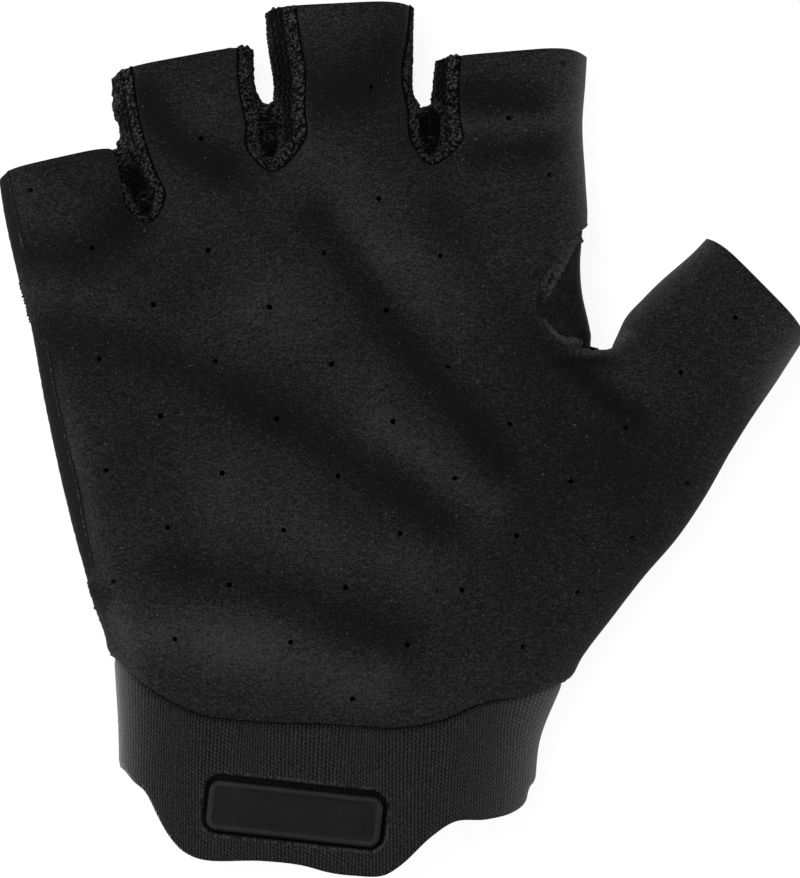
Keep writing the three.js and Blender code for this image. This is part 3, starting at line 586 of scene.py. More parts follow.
def trim(bm, region, allowance=0.0):
    """Keeps what lies inside a region, grown by an allowance that tucks under the next panel."""
    key = bm.verts.layers.float.get("inside") or bm.verts.layers.float.new("inside")
    for vert, value in zip(bm.verts, measured(bm, region) + allowance):
        vert[key] = value
    far = [face for face in bm.faces if all(v[key] < 0 for v in face.verts)]
    bmesh.ops.delete(bm, geom=far, context="FACES")
    for edge in bm.edges:
        a, b = edge.verts
        if a[key] * b[key] < 0:
            t = a[key] / (a[key] - b[key])
            near = a if t < 0.25 else b if t > 0.75 else None
            if near:
                near.co = a.co.lerp(b.co, t)
                near[key] = 0
    crossing = [e for e in bm.edges if e.verts[0][key] * e.verts[1][key] < 0]
    for edge in crossing:
        a, b = edge.verts
        vert = bmesh.utils.edge_split(edge, a, a[key] / (a[key] - b[key]))[1]
        vert[key] = 0
    bmesh.ops.connect_verts(bm, verts=[v for v in bm.verts if v[key] == 0])
    off = [face for face in bm.faces if sum(v[key] for v in face.verts) <= 0]
    bmesh.ops.delete(bm, geom=off, context="FACES")
    bmesh.ops.dissolve_degenerate(bm, dist=2 * MERGE, edges=bm.edges[:])


def largest_island(bm):
    """Deletes all but the largest connected patch."""
    left, islands = set(bm.verts), []
    while left:
        stack, island = [left.pop()], []
        while stack:
            vert = stack.pop()
            island.append(vert)
            for edge in vert.link_edges:
                other = edge.other_vert(vert)
                if other in left:
                    left.remove(other)
                    stack.append(other)
        islands.append(island)
    islands.sort(key=len)
    bmesh.ops.delete(bm, geom=[v for island in islands[:-1] for v in island], context="VERTS")


def move_out(bm, amount):
    """Moves each point along its normal by an array of millimetres."""
    bm.normal_update()
    moves = [(vert, vert.normal * float(step)) for vert, step in zip(bm.verts, amount)]
    for vert, step in moves:
        vert.co += step


# %% [markdown]
# ## Placing the pieces
# The sheet was drawn around the middle of the cuff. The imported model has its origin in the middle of
# its box, so each piece is moved by the difference of the two boxes and scaled to metres. The sheet is
# only the outer surface of the cloth, so a Solidify modifier adds the wall inwards.

# %% From drawing to frame
trimmed = sheet.copy()
trim(trimmed, lambda x, y, z: np.maximum(cuff_region(x, y, z), -in_cuff(x, y)))
places = points_of(trimmed)
trimmed.free()
to_frame = (np.array(cad_low) + np.array(cad_high)) / 2 / MM - (places.min(0) + places.max(0)) / 2
to_frame[2] = 0
print("offset from the drawing:", to_frame.round(2))


def place(bm, name, node, material, wall):
    """Turns a panel's sheet into a piece with a wall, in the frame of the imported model."""
    bmesh.ops.translate(bm, verts=bm.verts[:], vec=Vector(to_frame))
    bmesh.ops.scale(bm, verts=bm.verts[:], vec=(MM, MM, MM))
    mesh = bpy.data.meshes.new(name)
    bm.to_mesh(mesh)
    bm.free()
    mesh.shade_smooth()
    mesh.materials.append(material)
    piece = bpy.data.objects.new(name, mesh)
    bpy.context.scene.collection.objects.link(piece)
    if wall:
        shell = piece.modifiers.new("wall", "SOLIDIFY")
        shell.thickness = wall * MM
        shell.offset = -1
    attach(piece, "root")
    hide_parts(node)
    print(name, len(mesh.polygons), "faces")
    return piece


# %% [markdown]
# ## Shader maths
# A material is a formula over the surface. This small class wraps a socket, so a formula reads as
# Python: an operator on two values adds the Math node for it.


# %% Wrap sockets
class Shader:
    """The node tree of one material."""

    def __init__(self, name):
        self.material = bpy.data.materials.new(name)
        self.material.use_nodes = True
        self.tree = self.material.node_tree
        self.tree.nodes.clear()

    def node(self, kind, settings=None, **inputs):
        """Adds a node. settings are set first, inputs are values or links."""
        made = self.tree.nodes.new(kind)
        for key, value in (settings or {}).items():
            setattr(made, key, value)
        for key, value in inputs.items():
            socket = made.inputs[int(key[1:])] if key[0] == "_" else made.inputs[key.replace("_", " ")]
            if isinstance(value, Value):
                self.tree.links.new(value.socket, socket)
            else:
                socket.default_value = value
        return made

    def value(self, kind, output=0, settings=None, **inputs):
        """Adds a node and gives one of its outputs."""
        return Value(self, self.node(kind, settings, **inputs).outputs[output])

    def object_place(self):
        """The place on the object, in metres."""
        return self.value("ShaderNodeTexCoord", "Object")

    def attribute(self, name):
        """A number that rides on the mesh."""
        return self.value("ShaderNodeAttribute", "Fac", {"attribute_name": name})

    def noise(self, spot, size, detail=2.0, roughness=0.5):
        """Noise with features of a size in millimetres, from 0 to 1."""
        inputs = {"Vector": spot, "Scale": 1 / (size * MM), "Detail": detail, "Roughness": roughness}
        return self.value("ShaderNodeTexNoise", "Fac", **inputs)

    def mix(self, share, low, high):
        """A colour between two colours."""
        return self.value("ShaderNodeMix", 2, {"data_type": "RGBA"}, _0=share, _6=low, _7=high)

    def finish(self, colour, roughness, bump, height, specular, sheen=0.0, sheen_roughness=0.5):
        """Ends the material with a Principled surface. height is the bump's depth in millimetres."""
        inputs = {
            "Base_Color": colour, "Roughness": roughness, "Specular_IOR_Level": specular,
            "Sheen_Weight": sheen, "Sheen_Roughness": sheen_roughness,
        }
        normal = self.value("ShaderNodeBump", Height=bump, Distance=height * MM, Strength=1.0)
        surface = self.value("ShaderNodeBsdfPrincipled", Normal=normal, **inputs)
        self.node("ShaderNodeOutputMaterial", Surface=surface)
        return self.material


class Value:
    """A number on the surface."""

    def __init__(self, shader, socket):
        self.shader = shader
        self.socket = socket

    def maths(self, operation, *others, **settings):
        """Adds a Math node on this value and others."""
        inputs = {f"_{i}": other for i, other in enumerate([self, *others])}
        return self.shader.value("ShaderNodeMath", 0, {"operation": operation, **settings}, **inputs)

    def __add__(self, other):
        return self.maths("ADD", other)

    def __mul__(self, other):
        return self.maths("MULTIPLY", other)

    def __sub__(self, other):
        return self.maths("SUBTRACT", other)

    def __rsub__(self, other):
        return self.maths("MULTIPLY", -1.0) + other

    __radd__ = __add__
    __rmul__ = __mul__

    def sin(self):
        return self.maths("SINE")

    def above(self, low, high):
        """Eases from 0 at low to 1 at high."""
        settings = {"interpolation_type": "SMOOTHSTEP"}
        return self.shader.value("ShaderNodeMapRange", 0, settings, Value=self, From_Min=low, From_Max=high)


def grey(level, warmth=0.0):
    """A linear grey from an sRGB level of 0 to 255."""
    c = level / 255
    linear = c / 12.92 if c <= 0.04045 else ((c + 0.055) / 1.055) ** 2.4
    return (linear * (1 + warmth), linear, linear * (1 - warmth), 1)


# %% [markdown]
# ## Suede
# Brushed microfibre suede is matte and mottled: the nap lies over in patches, so it looks lighter or
# darker by the way it was stroked, with fine slanted streaks and a few light specks of fluff. Real
# hairs would be a tenth of a millimetre long and far too many, so noise at four sizes stands for them,
# in the colour and in a small bump. A number on each point paints shade into the creases of the palm
# and along its sewn edges, and paints light onto its pads and along its edges beside the thumb and the
# little finger; near the thumb's web it also carries the lumpy tone of the frayed fibres. The number
# "rim" is a painted highlight along the side of the thumb and the index finger.


# %% Suede
def suede():
    """Black brushed suede."""
    s = Shader("black suede")
    spot = s.object_place()
    stroke = (0, 0, math.radians(-52))
    slanted = s.value("ShaderNodeMapping", 0, Vector=spot, Rotation=stroke, Scale=(1, 3.2, 1))
    patches = s.noise(spot, 22, 2) - 0.5
    streaks = s.noise(slanted, 1.3, 3, 0.65) - 0.5
    grain = s.noise(spot, 0.42, 2, 0.7) - 0.5
    fluff = s.noise(spot, 0.5, 0).above(0.815, 0.85)
    # Painted shade in creases and at seams, painted light on pads and along edges, from a number on the
    # mesh.
    tone = s.attribute("nap_and_painted_shading") * 0.26 + patches * 0.4 + streaks * 0.8 + grain * 1.4 + 0.28
    colour = s.mix(tone.above(0, 1), grey(9), grey(46))
    colour = s.mix(fluff * 0.3, colour, grey(90))
    # Painted highlight along the side of the thumb and the index finger.
    colour = s.mix(s.attribute("rim") * (tone + 0.5), colour, grey(120))
    relief = streaks * 0.45 + grain * 0.55
    return s.finish(colour, 0.95, relief, 0.2, specular=0.06, sheen=0.05, sheen_roughness=0.4)


# %% [markdown]
# ## Knits and rubber
# The cuff is a fine rib knit. An image of knit would repeat, so two sine waves make it: their ribs
# follow the two numbers of the sheet and turn with the cloth. Numbers on the mesh add painted shade and a
# painted sheen along the cuff's sides. The terry's colour takes painted light and shade from a number
# that is high on top of a loop and low between two loops. The rubber has hardly any pattern, only a
# cloudy bloom, dust and a painted highlight on its rim.


# %% Knits and rubber
def rib_knit(name, low, high, pitch):
    """Ribbed knit between two greys, with a pitch in millimetres."""
    s = Shader(name)
    u, v = s.attribute("knit_u"), s.attribute("knit_v")
    wander = s.noise(s.object_place(), 3, 2)
    rib = (u * (2 * math.pi / pitch) + wander * 1.2).sin() * 0.5 + 0.5
    stitch = (v * (2 * math.pi / (pitch * 1.3)) + u * (math.pi / pitch)).sin() * 0.5 + 0.5
    fleck = s.noise(s.object_place(), 0.3, 1)
    # Painted shade in the badge's hollow and under the suede's edge, with light flecks of thread on the
    # hollow's lip.
    tone = rib * 0.35 + stitch * 0.2 + fleck * 1.1 - 0.45 + s.attribute("nap_and_painted_shading") * 0.4
    colour = s.mix(tone.above(0, 1), grey(low), grey(high))
    # Painted sheen along the cuff's sides.
    colour = s.mix(s.attribute("rim") * (tone * 0.6 + 0.5), colour, grey(150))
    relief = rib * 0.8 + stitch * 0.3
    return s.finish(colour, 0.85, relief, 0.12, specular=0.06, sheen=0.3, sheen_roughness=0.25)


def terry_knit(name, low, high):
    """Looped knit between two greys."""
    s = Shader(name)
    fleck = s.noise(s.object_place(), 0.24, 2, 0.7) - 0.5
    # A number on the mesh paints light on top of each loop and shade between loops, under random flecks.
    tone = s.attribute("pile_and_painted_shading") * (fleck * 2.2 + 1) + fleck * 0.25
    colour = s.mix(tone.above(0.16, 1.05), grey(low), grey(high))
    return s.finish(colour, 0.9, fleck, 0.1, specular=0.05, sheen=0.05, sheen_roughness=0.3)


def stretch_cloth():
    """Smooth cloth with a faint weave."""
    s = Shader("smooth stretch cloth")
    weave = s.noise(s.object_place(), 0.35, 2)
    cloud = s.noise(s.object_place(), 2.5, 2)
    colour = s.mix((weave * 0.6 + cloud * 0.4).above(0.38, 0.66), grey(4), grey(22))
    return s.finish(colour, 0.75, weave, 0.05, specular=0.05, sheen=0.2, sheen_roughness=0.25)


def satin_rubber():
    """Rubber with a cloudy bloom and a painted highlight on its rim."""
    s = Shader("satin rubber")
    cloud = s.noise(s.object_place(), 7, 2)
    dust = s.noise(s.object_place(), 0.25, 2)
    # Painted highlight on the raised rim.
    tone = (cloud * 0.4 + dust * 0.6).above(0.25, 0.75) * 0.6 + s.attribute("rim") * 0.5
    colour = s.mix(tone, grey(5), grey(32))
    return s.finish(colour, 0.55, dust, 0.02, specular=0.05)


suede_finish = suede()
cuff_finish = rib_knit("ribbed cuff knit", 3, 44, 0.6)
terry_finish = terry_knit("terry knit", 1, 54)
back_finish = terry_knit("fine back knit", 14, 56)
web_finish = stretch_cloth()
frayed_finish = terry_knit("frayed terry", 14, 60)
rubber_finish = satin_rubber()
print("finishes:", [material.name for material in bpy.data.materials])

# %% [markdown]
# ## Relief of the cloth
# A seam and a loop of yarn are too small for the sheet's grid. A finer sheet would do, but it would
# have over a million faces. So one tool makes the grid finer near a seam only, and one cuts a panel
# with such a grid. One gives each point a number for its material. The last scatters round lumps, as a
# Voronoi texture does, but as numbers that can also move points.


# %% Relief tools
def refine(bm, region, reach, cuts):
    """Makes the grid finer within a reach of a seam."""
    near = np.abs(measured(bm, region)) < reach
    bm.verts.index_update()
    edges = [e for e in bm.edges if near[e.verts[0].index] and near[e.verts[1].index]]
    bmesh.ops.subdivide_edges(bm, edges=edges, cuts=cuts, use_grid_fill=True)


def cut_panel(region, reach, cuts, allowance=0.0, fine_region=None):
    """A panel cut from the sheet, its grid finer within a reach of a seam."""
    bm = sheet.copy()
    trim(bm, region, allowance)
    largest_island(bm)
    refine(bm, fine_region or region, reach, cuts)
    return bm


def set_number(bm, name, values):
    """Gives every point a number that a material can read."""
    layer = bm.verts.layers.float.get(name) or bm.verts.layers.float.new(name)
    for vert, value in zip(bm.verts, values):
        vert[layer] = value


def lumps(points, size):
    """Round lumps scattered one to a cell: 1 in the middle of a lump, 0 in the gaps."""
    spots = points / size
    cells = np.floor(spots)
    nearest = np.full(len(points), 9.0)
    for step in np.ndindex(3, 3, 3):
        cell = cells + np.array(step) - 1
        key = cell @ (12.9898, 78.233, 37.719)
        jitter = np.modf(np.abs(np.sin(key[:, None] * (1.0, 1.37, 1.71))) * 43758.5453)[0]
        nearest = np.minimum(nearest, np.linalg.norm(cell + jitter - spots, axis=1))
    return np.clip(1 - (nearest / 0.8) ** 2, 0, 1)


# %% [markdown]
# ## The suede palm
# The palm panel takes in the fronts of the fingers and the thumb. Creases and pads follow how the hand
# folds. They could be sculpted, but a list of them can be measured and put right one at a time. Each is
# a line in shares of the palm, with its width in shares too, its height in millimetres and how much it
# lightens the colour: painted light on a pad, painted shade in a crease. Some have no height and only
# darken the colour.

# %% Creases and pads
CREASES = [
    ([(-0.04, 0.886), (0.103, 0.673), (0.289, 0.442)], 0.036, -0.9, -1.0),
    ([(-0.5, 0.682), (-0.269, 0.611), (-0.074, 0.508), (0.174, 0.345)], 0.042, -0.8, -0.8),
    ([(-0.287, 0.256), (-0.074, 0.203), (0.103, 0.136)], 0.042, -0.6, -0.75),
    ([(0.174, 0.886), (0.28, 0.753), (0.365, 0.673)], 0.045, -0.5, -0.5),
    ([(0.014, 0.93), (0.138, 0.77)], 0.07, 0.4, 0.35),
    ([(-0.128, 0.717), (-0.004, 0.602)], 0.06, 0.3, 0.35),
    ([(0.076, 0.513), (0.156, 0.442), (0.262, 0.363)], 0.04, 0.4, 0.7),
    ([(-0.181, 0.38), (-0.021, 0.31), (0.121, 0.265)], 0.055, 0.4, 0.45),
    ([(-0.376, 0.141), (-0.199, 0.123), (0.05, 0.052)], 0.05, 0.4, 0.8),
    ([(-0.544, 0.815), (-0.455, 0.81), (-0.376, 0.868)], 0.045, -0.5, -1.0),
    ([(-0.44, 0.215), (-0.41, 0.21)], 0.016, -0.4, -0.8),
    ([(0.385, 0.622), (0.44, 0.626), (0.48, 0.622)], 0.009, -0.3, -0.9),
    ([(0.385, 0.636), (0.47, 0.639), (0.514, 0.671)], 0.006, 0.25, 1.6),
    ([(-0.345, 1.09), (-0.285, 1.005), (-0.202, 0.967)], 0.034, -0.5, -1.5),
    ([(-0.074, 1.098), (0.005, 1.098), (0.085, 1.16)], 0.06, -0.3, -1.0),
    ([(0.235, 1.097), (0.342, 1.084)], 0.032, -0.5, -1.3),
    ([(0.254, 0.987), (0.36, 1.0)], 0.03, -0.4, -0.9),
    ([(0.227, 1.04), (0.386, 1.05)], 0.022, 0.3, 0.5),
    ([(0.394, 0.629), (0.46, 0.57), (0.528, 0.522)], 0.02, -0.7, -0.8),
    ([(0.45, 0.42), (0.35, 0.3)], 0.2, 0.0, -0.45),
    ([(0.62, 0.66), (0.72, 0.55)], 0.12, 0.0, -0.25),
    ([(-0.43, 0.55), (-0.35, 0.42)], 0.07, -0.2, -0.5),
    ([(0.5, 0.46), (0.57, 0.35)], 0.09, 0.0, -0.4),
]
print("creases and pads:", len(CREASES))


def creases(x, y):
    """Height, and painted light and shade, of all creases and pads together."""
    height, nap_and_painted_shading = np.zeros_like(x), np.zeros_like(x)
    for points, width, rise, tone in CREASES:
        line = smooth_line(np.array(points) * palm_scale, 4)
        share = hump(line_distance(line, x, y), width * PALM_WIDTH)
        height += rise * share
        # Painted shade along a crease, painted light along a pad.
        nap_and_painted_shading += tone * share
    return height, nap_and_painted_shading


# %% [markdown]
# ## Ventilation holes
# The suede is punched with small round holes in slanted rows, so that the hand can breathe. A dark dot
# in the material would look flat in a side light, and a boolean with many cylinders leaves ragged faces
# in a thin sheet. So the grid is made finer around each hole, and the hole is trimmed out like a seam.

# %% Ventilation holes
HOLE_RADIUS = 0.55
HOLE_FINE_REACH = 1.2
EDGE_MARGIN = 4  # mm from the outline to the nearest hole, and from a seam
SEAM_MARGIN = 5
HOLE_FROM = (-0.328, 0.7226)
HOLE_PITCH = 15.0
HOLE_ROW_PITCH = 16.35
HOLE_HEADINGS = (45.1, 132.8)  # degrees to the right of straight up, along a row and to the next
HOLE_ROWS = 12
INDEX_HOLE_DROP = 0.05  # shares of the palm: the cloth sits lower on the index finger
INDEX_HOLE_SHIFT = 0.036


def hole_places():
    """A slanted grid of holes, clear of every seam."""
    step, row_step = heading(HOLE_HEADINGS[0]), heading(HOLE_HEADINGS[1])
    grid = [
        np.array(HOLE_FROM) * palm_scale + step * HOLE_PITCH * i + row_step * HOLE_ROW_PITCH * j
        for i in range(-HOLE_ROWS, HOLE_ROWS + 1)
        for j in range(-HOLE_ROWS, HOLE_ROWS + 1)
    ]
    x, y = np.array(grid).T
    on_index = smooth((x / PALM_WIDTH - 0.22) / 0.03) * smooth((y / PALM_LENGTH - 0.86) / 0.04)
    x = x + INDEX_HOLE_SHIFT * PALM_WIDTH * on_index * smooth((y / PALM_LENGTH - 1.02) / 0.06)
    y = y - INDEX_HOLE_DROP * PALM_LENGTH * on_index
    ring = [*left_edge[::4]]
    for finger in FINGERS.values():
        ring += [*finger["left"][::4], *finger["right"][::-4]]
    ring += [*right_edge[::-4]]
    clear = (inside_outline(ring)(x, y) > 0) & (edge_distance(x, y) > EDGE_MARGIN)
    for measure in [*in_gusset.values(), in_web, in_cuff]:
        clear &= measure(x, y) < -SEAM_MARGIN
    return np.stack([x, y], axis=-1)[clear]


holes = hole_places()
print("ventilation holes:", len(holes))


def punch(bm):
    """Makes the grid finer around each hole and cuts it out."""
    def from_hole(x, y, z):
        """Distance outside the nearest hole."""
        return np.min([np.hypot(x - hx, y - hy) for hx, hy in holes], axis=0) - HOLE_RADIUS

    refine(bm, from_hole, HOLE_FINE_REACH, 3)
    trim(bm, from_hole)


# %% [markdown]
# ## The edges of the palm
# Where the suede is sewn it turns down, with painted shade along the turn, and over the thumb's web its
# edge is frayed. Along the side of the thumb and the index finger, and beside the little finger's knit
# strip, painted light makes the suede pale. A separate strip for each would need seams of its own, so
# each is a term that is added to the height or the colour of the points near that edge.

# %% Edges of the palm
EDGE_FINE_REACH = 1.3
FRAYED_END = 0.46  # share of the palm's width, where the crotch's silhouette begins


def frayed_share(x, y, z):
    """1 along the suede's frayed edge over the thumb's web, 0 elsewhere."""
    share = hump(-in_web(x, y) - 0.9, 0.9) * smooth((z - SEAM_HEIGHT) / 2)
    return share * smooth((FRAYED_END - x / PALM_WIDTH) / 0.03)


def edge_relief(x, y, z, edge):
    """How the suede turns down at its seams and swells beside the cuff."""
    cuff_edge = np.maximum(0, -in_cuff(x, y))
    turned = np.minimum(outside_strips(x, y, z), cuff_edge)
    return 0.3 * hump(cuff_edge - 1.6, 1.2) - 0.3 * hump(turned, 0.6) - 0.08 * hump(edge, 0.5)


def side_shares(x, y):
    """Shares that choose the side of index finger and thumb, and the little finger's side of the palm."""
    radial = smooth((x / PALM_WIDTH - 0.25) / 0.08) * smooth((y / PALM_LENGTH - 0.5) / 0.1)
    ulnar = (x < -0.3 * PALM_WIDTH) * smooth((0.62 - y / PALM_LENGTH) / 0.1)
    return radial, ulnar


# %% Make the palm
def make_palm():
    """The suede palm with its folds, turned edges, frayed edge, painted highlights along its sides and
    holes.
    """
    bm = cut_panel(palm_region, EDGE_FINE_REACH, 2)
    points = points_of(bm)
    x, y, z = points.T
    edge, side = np.maximum(0, palm_region(x, y, z)), edge_distance(x, y)
    frayed, (radial, ulnar) = frayed_share(x, y, z), side_shares(x, y)
    height, nap_and_painted_shading = creases(x, y)
    out = height * smooth(edge / 3) + edge_relief(x, y, z, edge)
    out += frayed * (0.2 + 0.6 * lumps(points, 0.9)) + 0.4 * radial * np.exp(-side / 3) * smooth(edge / 0.6)
    # The frayed edge's lumpy fibres, and painted shade where the suede turns down at a seam.
    nap_and_painted_shading += frayed * (1.1 * lumps(points, 0.8) - 0.3) - 0.4 * hump(edge, 0.35)
    # Painted light along the side of the thumb and the index finger and beside the little finger's knit
    # strip.
    nap_and_painted_shading += 0.8 * radial * np.exp(-side / 2.6) + 0.6 * ulnar * hump(side - 4, 2.2)
    set_number(bm, "nap_and_painted_shading", nap_and_painted_shading)
    # Painted highlight along the side of the thumb and the index finger.
    set_number(bm, "rim", 0.13 * radial * np.exp(-side / 1.2))
    move_out(bm, out)
    punch(bm)
    return bm


place(make_palm(), "suede_palm", "palm_panel", suede_finish, SUEDE)

# %% [markdown]
# ## The knit back, the thumb's back and the strips between the fingers
# These are sewn under the edge of the suede. Each is cut a little larger than it shows, and the extra
# strip is pushed in by the thickness of the suede, so no seam can gape. Terry could be thousands of
# modelled loops of yarn. At this size lumps on the cloth give the same light and shade, and bake well.
# Beside the seam the terry stands up in a lumpy roll. Further in it lies flat, with wavy ribs along
# the finger, and at the crotch it closes the slit and leaves a pit with painted shade. Its colour has
# painted light on the tops of loops and ribs and painted shade between them. The knit back has no ribs.

# %% Terry and its tuck
ALLOWANCE = 1.4  # mm of cloth beyond a seam
UNDER = SUEDE + 0.12  # mm that this extra cloth is pushed in
SINK = 0.25  # mm that the rest of a panel lies below the suede
EVERYWHERE = 30  # a reach that takes in a whole strip


def tuck(value):
    """How far a panel is pushed in, by its distance inside the seam."""
    return SINK + (UNDER - SINK) * smooth(0.3 - value / 0.7)


def crotch_sink(x, y):
    """Pushes layers in at the crotch of the thumb, where five of them meet under the suede."""
    from_crotch = np.hypot(x - thumb["left_base"][0], y - thumb["left_base"][1])
    return 0.9 * hump(from_crotch, 2.6)


def pile_and_painted_shading(points, value, lump, roll_width, ribs):
    """Relief of terry in millimetres, and its tone: painted light on the tops of loops and ribs, painted
    shade between them.
    """
    x, y = points.T[:2]
    warped = points + 0.25 * np.sin(points[:, [1, 2, 0]] * 3.1)
    loops = lumps(warped, lump)
    small = lumps(warped + 7, lump * 0.65)
    roll = smooth((value - 0.05) / 0.3) * smooth((roll_width + 0.5 * small - value) / 0.5)
    inner = smooth((value - roll_width + 0.2) / 0.5)
    wave = 1.3 * np.sin(2 * math.pi * y / 1.7 + x)
    rib = 0.5 + 0.5 * np.sin(2 * math.pi * value / 0.95 + wave + 2 * small)
    rib = 0.3 + (rib - 0.3) * ribs
    relief = roll * (0.1 + 0.3 * loops + 0.15 * small) + inner * (0.2 * rib * (0.4 + 0.6 * small) - 0.25)
    relief += (1 - ribs) * 0.1 * loops
    # Painted light on the tops of loops and ribs, painted shade between them.
    tone = roll * 1.7 * (loops * small) ** 1.3 + inner * (0.02 + 0.6 * rib * small)
    return relief, tone


def terry_panel(region, reach, cuts, lump=0.5, roll_width=2.7, ribs=1.0, closing=None, fine_region=None):
    """A terry panel with its relief. closing fills the slit between two fingers."""
    bm = cut_panel(region, reach, cuts, ALLOWANCE, fine_region)
    points = points_of(bm)
    value = region(*points.T)
    relief, tone = pile_and_painted_shading(points, value, lump, roll_width, ribs)
    out = relief - tuck(value) - crotch_sink(*points.T[:2])
    if closing:
        slit, floor, pit_and_painted_shade = closing(*points.T)
        loops = lumps(points + 3, 0.5)
        out += slit + 0.3 * floor * loops
        # Painted light on the loops of the slit's floor and painted shade in its pit.
        tone = (tone * (1 - floor) + floor * 1.1 * loops**1.5) * (1 - 0.95 * pit_and_painted_shade)
    set_number(bm, "pile_and_painted_shading", tone)
    move_out(bm, out)
    return bm


def slit_closing(left, right):
    """Fills the slit between two fingers, where their sides run close together, and marks a pit for painted
    shade.
    """
    def closing(x, y, z):
        """How far the sides are pushed together, and shares of the slit's floor and of its pit with painted
        shade.
        """
        from_left = line_distance(left["right"][::3], x, y)
        from_right = line_distance(right["left"][::3], x, y)
        gap = np.maximum(from_left, from_right)
        close = smooth((1.75 - gap) / 0.6)
        pit_and_painted_shade = smooth((2.6 - gap) / 0.7) * hump(from_left - from_right, 0.7)
        return (SINK + gap / 2 + 0.35) * close, smooth((4 - gap) / 2), pit_and_painted_shade

    return closing


# %% Make the terry panels
def ulnar_seam(x, y, z):
    """Distance inside the back panel's seam on the little finger's side."""
    return np.where((x < -0.36 * PALM_WIDTH) & (y < 0.95 * PALM_LENGTH), back_region(x, y, z), 99)


knit_back = terry_panel(back_region, 3.2, 2, lump=0.8, roll_width=0.4, ribs=0, fine_region=ulnar_seam)
place(knit_back, "knit_back", "back_panel", back_finish, KNIT)
thumb_back = terry_panel(thumb_back_region, 5, 2)
place(thumb_back, "thumb_back_terry", "thumb_back", terry_finish, KNIT)
for (name, sewn), (left, right) in zip(GUSSETS.items(), finger_pairs):
    closing = slit_closing(left, right)
    gusset = terry_panel(strips[name], EVERYWHERE, 3, roll_width=sewn["roll"], closing=closing)
    place(gusset, f"terry_gusset_{name}", f"gusset_{name}", terry_finish, KNIT)

# %% [markdown]
# ## The thumb's crotch
# A smooth stretch cloth closes the crotch of the thumb. Along the suede's edge lies a rough, frayed
# band with a ridge. It could be a hair system, but hair isn't exported, so it is cut from the same
# sheet and roughened with lumps.


# %% Make the web
def web_cloth():
    """The smooth cloth of the thumb's crotch."""
    bm = cut_panel(strips["web"], EVERYWHERE, 1, ALLOWANCE)
    x, y, z = points_of(bm).T
    value = strips["web"](x, y, z)
    move_out(bm, 0.55 * smooth(value / 3) - tuck(value) - crotch_sink(x, y))
    return bm


# The part of the smooth cloth that shows, its deepest corner and the band's end, in shares of the palm.
WEB_WINDOW = [
    (0.422, 0.83), (0.39, 0.765), (0.367, 0.722), (0.372, 0.69),
    (0.39, 0.669), (0.44, 0.66), (0.5, 0.66), (0.5, 0.83),
]
WEB_PIT = (0.362, 0.715)
WEB_BAND_END = 0.43
WEB_BAND_WALL = 0.5  # mm
in_window = inside_outline(np.array(WEB_WINDOW) * palm_scale)


def web_band():
    """The rough band between the suede and the smooth cloth, with a ridge along its inner edge."""
    bm = cut_panel(strips["web"], EVERYWHERE, 3, ALLOWANCE)
    trim(bm, lambda x, y, z: 0.25 * np.sin(y * 2.9) * np.sin(x * 3.3) - in_window(x, y))
    trim(bm, lambda x, y, z: WEB_BAND_END * PALM_WIDTH - x)
    largest_island(bm)
    points = points_of(bm)
    x, y, z = points.T
    value = strips["web"](x, y, z)
    small = lumps(points, 0.5) * lumps(points + 5, 0.8)
    ridge_and_painted_highlight = hump(in_window(x, y) + 0.7, 0.6)
    pit_and_painted_shade = hump(np.hypot(x - WEB_PIT[0] * PALM_WIDTH, y - WEB_PIT[1] * PALM_LENGTH), 2.4)
    move_out(bm, 0.45 * ridge_and_painted_highlight + 0.3 * small - 0.5 * pit_and_painted_shade - 0.6 * tuck(value))
    # Fibre tone from the lumps, a painted highlight on the ridge and painted shade in the deepest corner.
    set_number(bm, "pile_and_painted_shading", 0.3 + 0.4 * small + 0.15 * ridge_and_painted_highlight - 0.4 * pit_and_painted_shade)
    return bm


place(web_cloth(), "thumb_web_cloth", "thumb_web", web_finish, KNIT)
place(web_band(), "thumb_web_terry", "thumb_web", frayed_finish, WEB_BAND_WALL)

# %% [markdown]
# ## The cuff
# The cuff is one tube of fine ribbed knit with a long tab. It is sewn under the palm's edge, so it
# lies lower there, and the badge sits in a hollow pressed into it. The hollow could be cut with a
# boolean, but pressed cloth has soft walls and a raised lip, so its points are pushed in instead. The
# number "rim" is a painted sheen highlight along both sides, where the knit turns away. Painted shade
# darkens the hollow and the knit just under the suede's edge.

# %% Badge sizes
BADGE_LENGTH = 34
BADGE_WIDTH = 9.8
BADGE_THICKNESS = 1.5
BADGE_CORNER = 2.2
BADGE_TILT = -6.3
BADGE_INSETS = ((0.16, 0.12), (0.3, 0.1), (0.45, 0.02), (0.3, -0.12), (0.6, -0.03))  # inwards, upwards
BADGE_SLICES = 25
HOLLOW_MARGIN = 1.0
HOLLOW_DEPTH = 1.1
HOLLOW_SHIFT = 0.3  # the hollow shows more above the badge than below it
badge_centre = np.array([-0.103 * CUFF_WIDTH, -0.93 * CUFF_LENGTH])
badge_turn = math.radians(BADGE_TILT)


def from_hollow(x, y):
    """Distance outside the hollow's rounded outline."""
    dx, dy = x - badge_centre[0], y - badge_centre[1]
    along_x = dx * math.cos(badge_turn) + dy * math.sin(badge_turn)
    along_y = dy * math.cos(badge_turn) - dx * math.sin(badge_turn) - HOLLOW_SHIFT
    corner = BADGE_CORNER + HOLLOW_MARGIN
    ox = np.abs(along_x) - BADGE_LENGTH / 2 - HOLLOW_MARGIN + corner
    oy = np.abs(along_y) - BADGE_WIDTH / 2 - HOLLOW_MARGIN + corner
    return np.hypot(np.maximum(ox, 0), np.maximum(oy, 0)) + np.minimum(np.maximum(ox, oy), 0) - corner


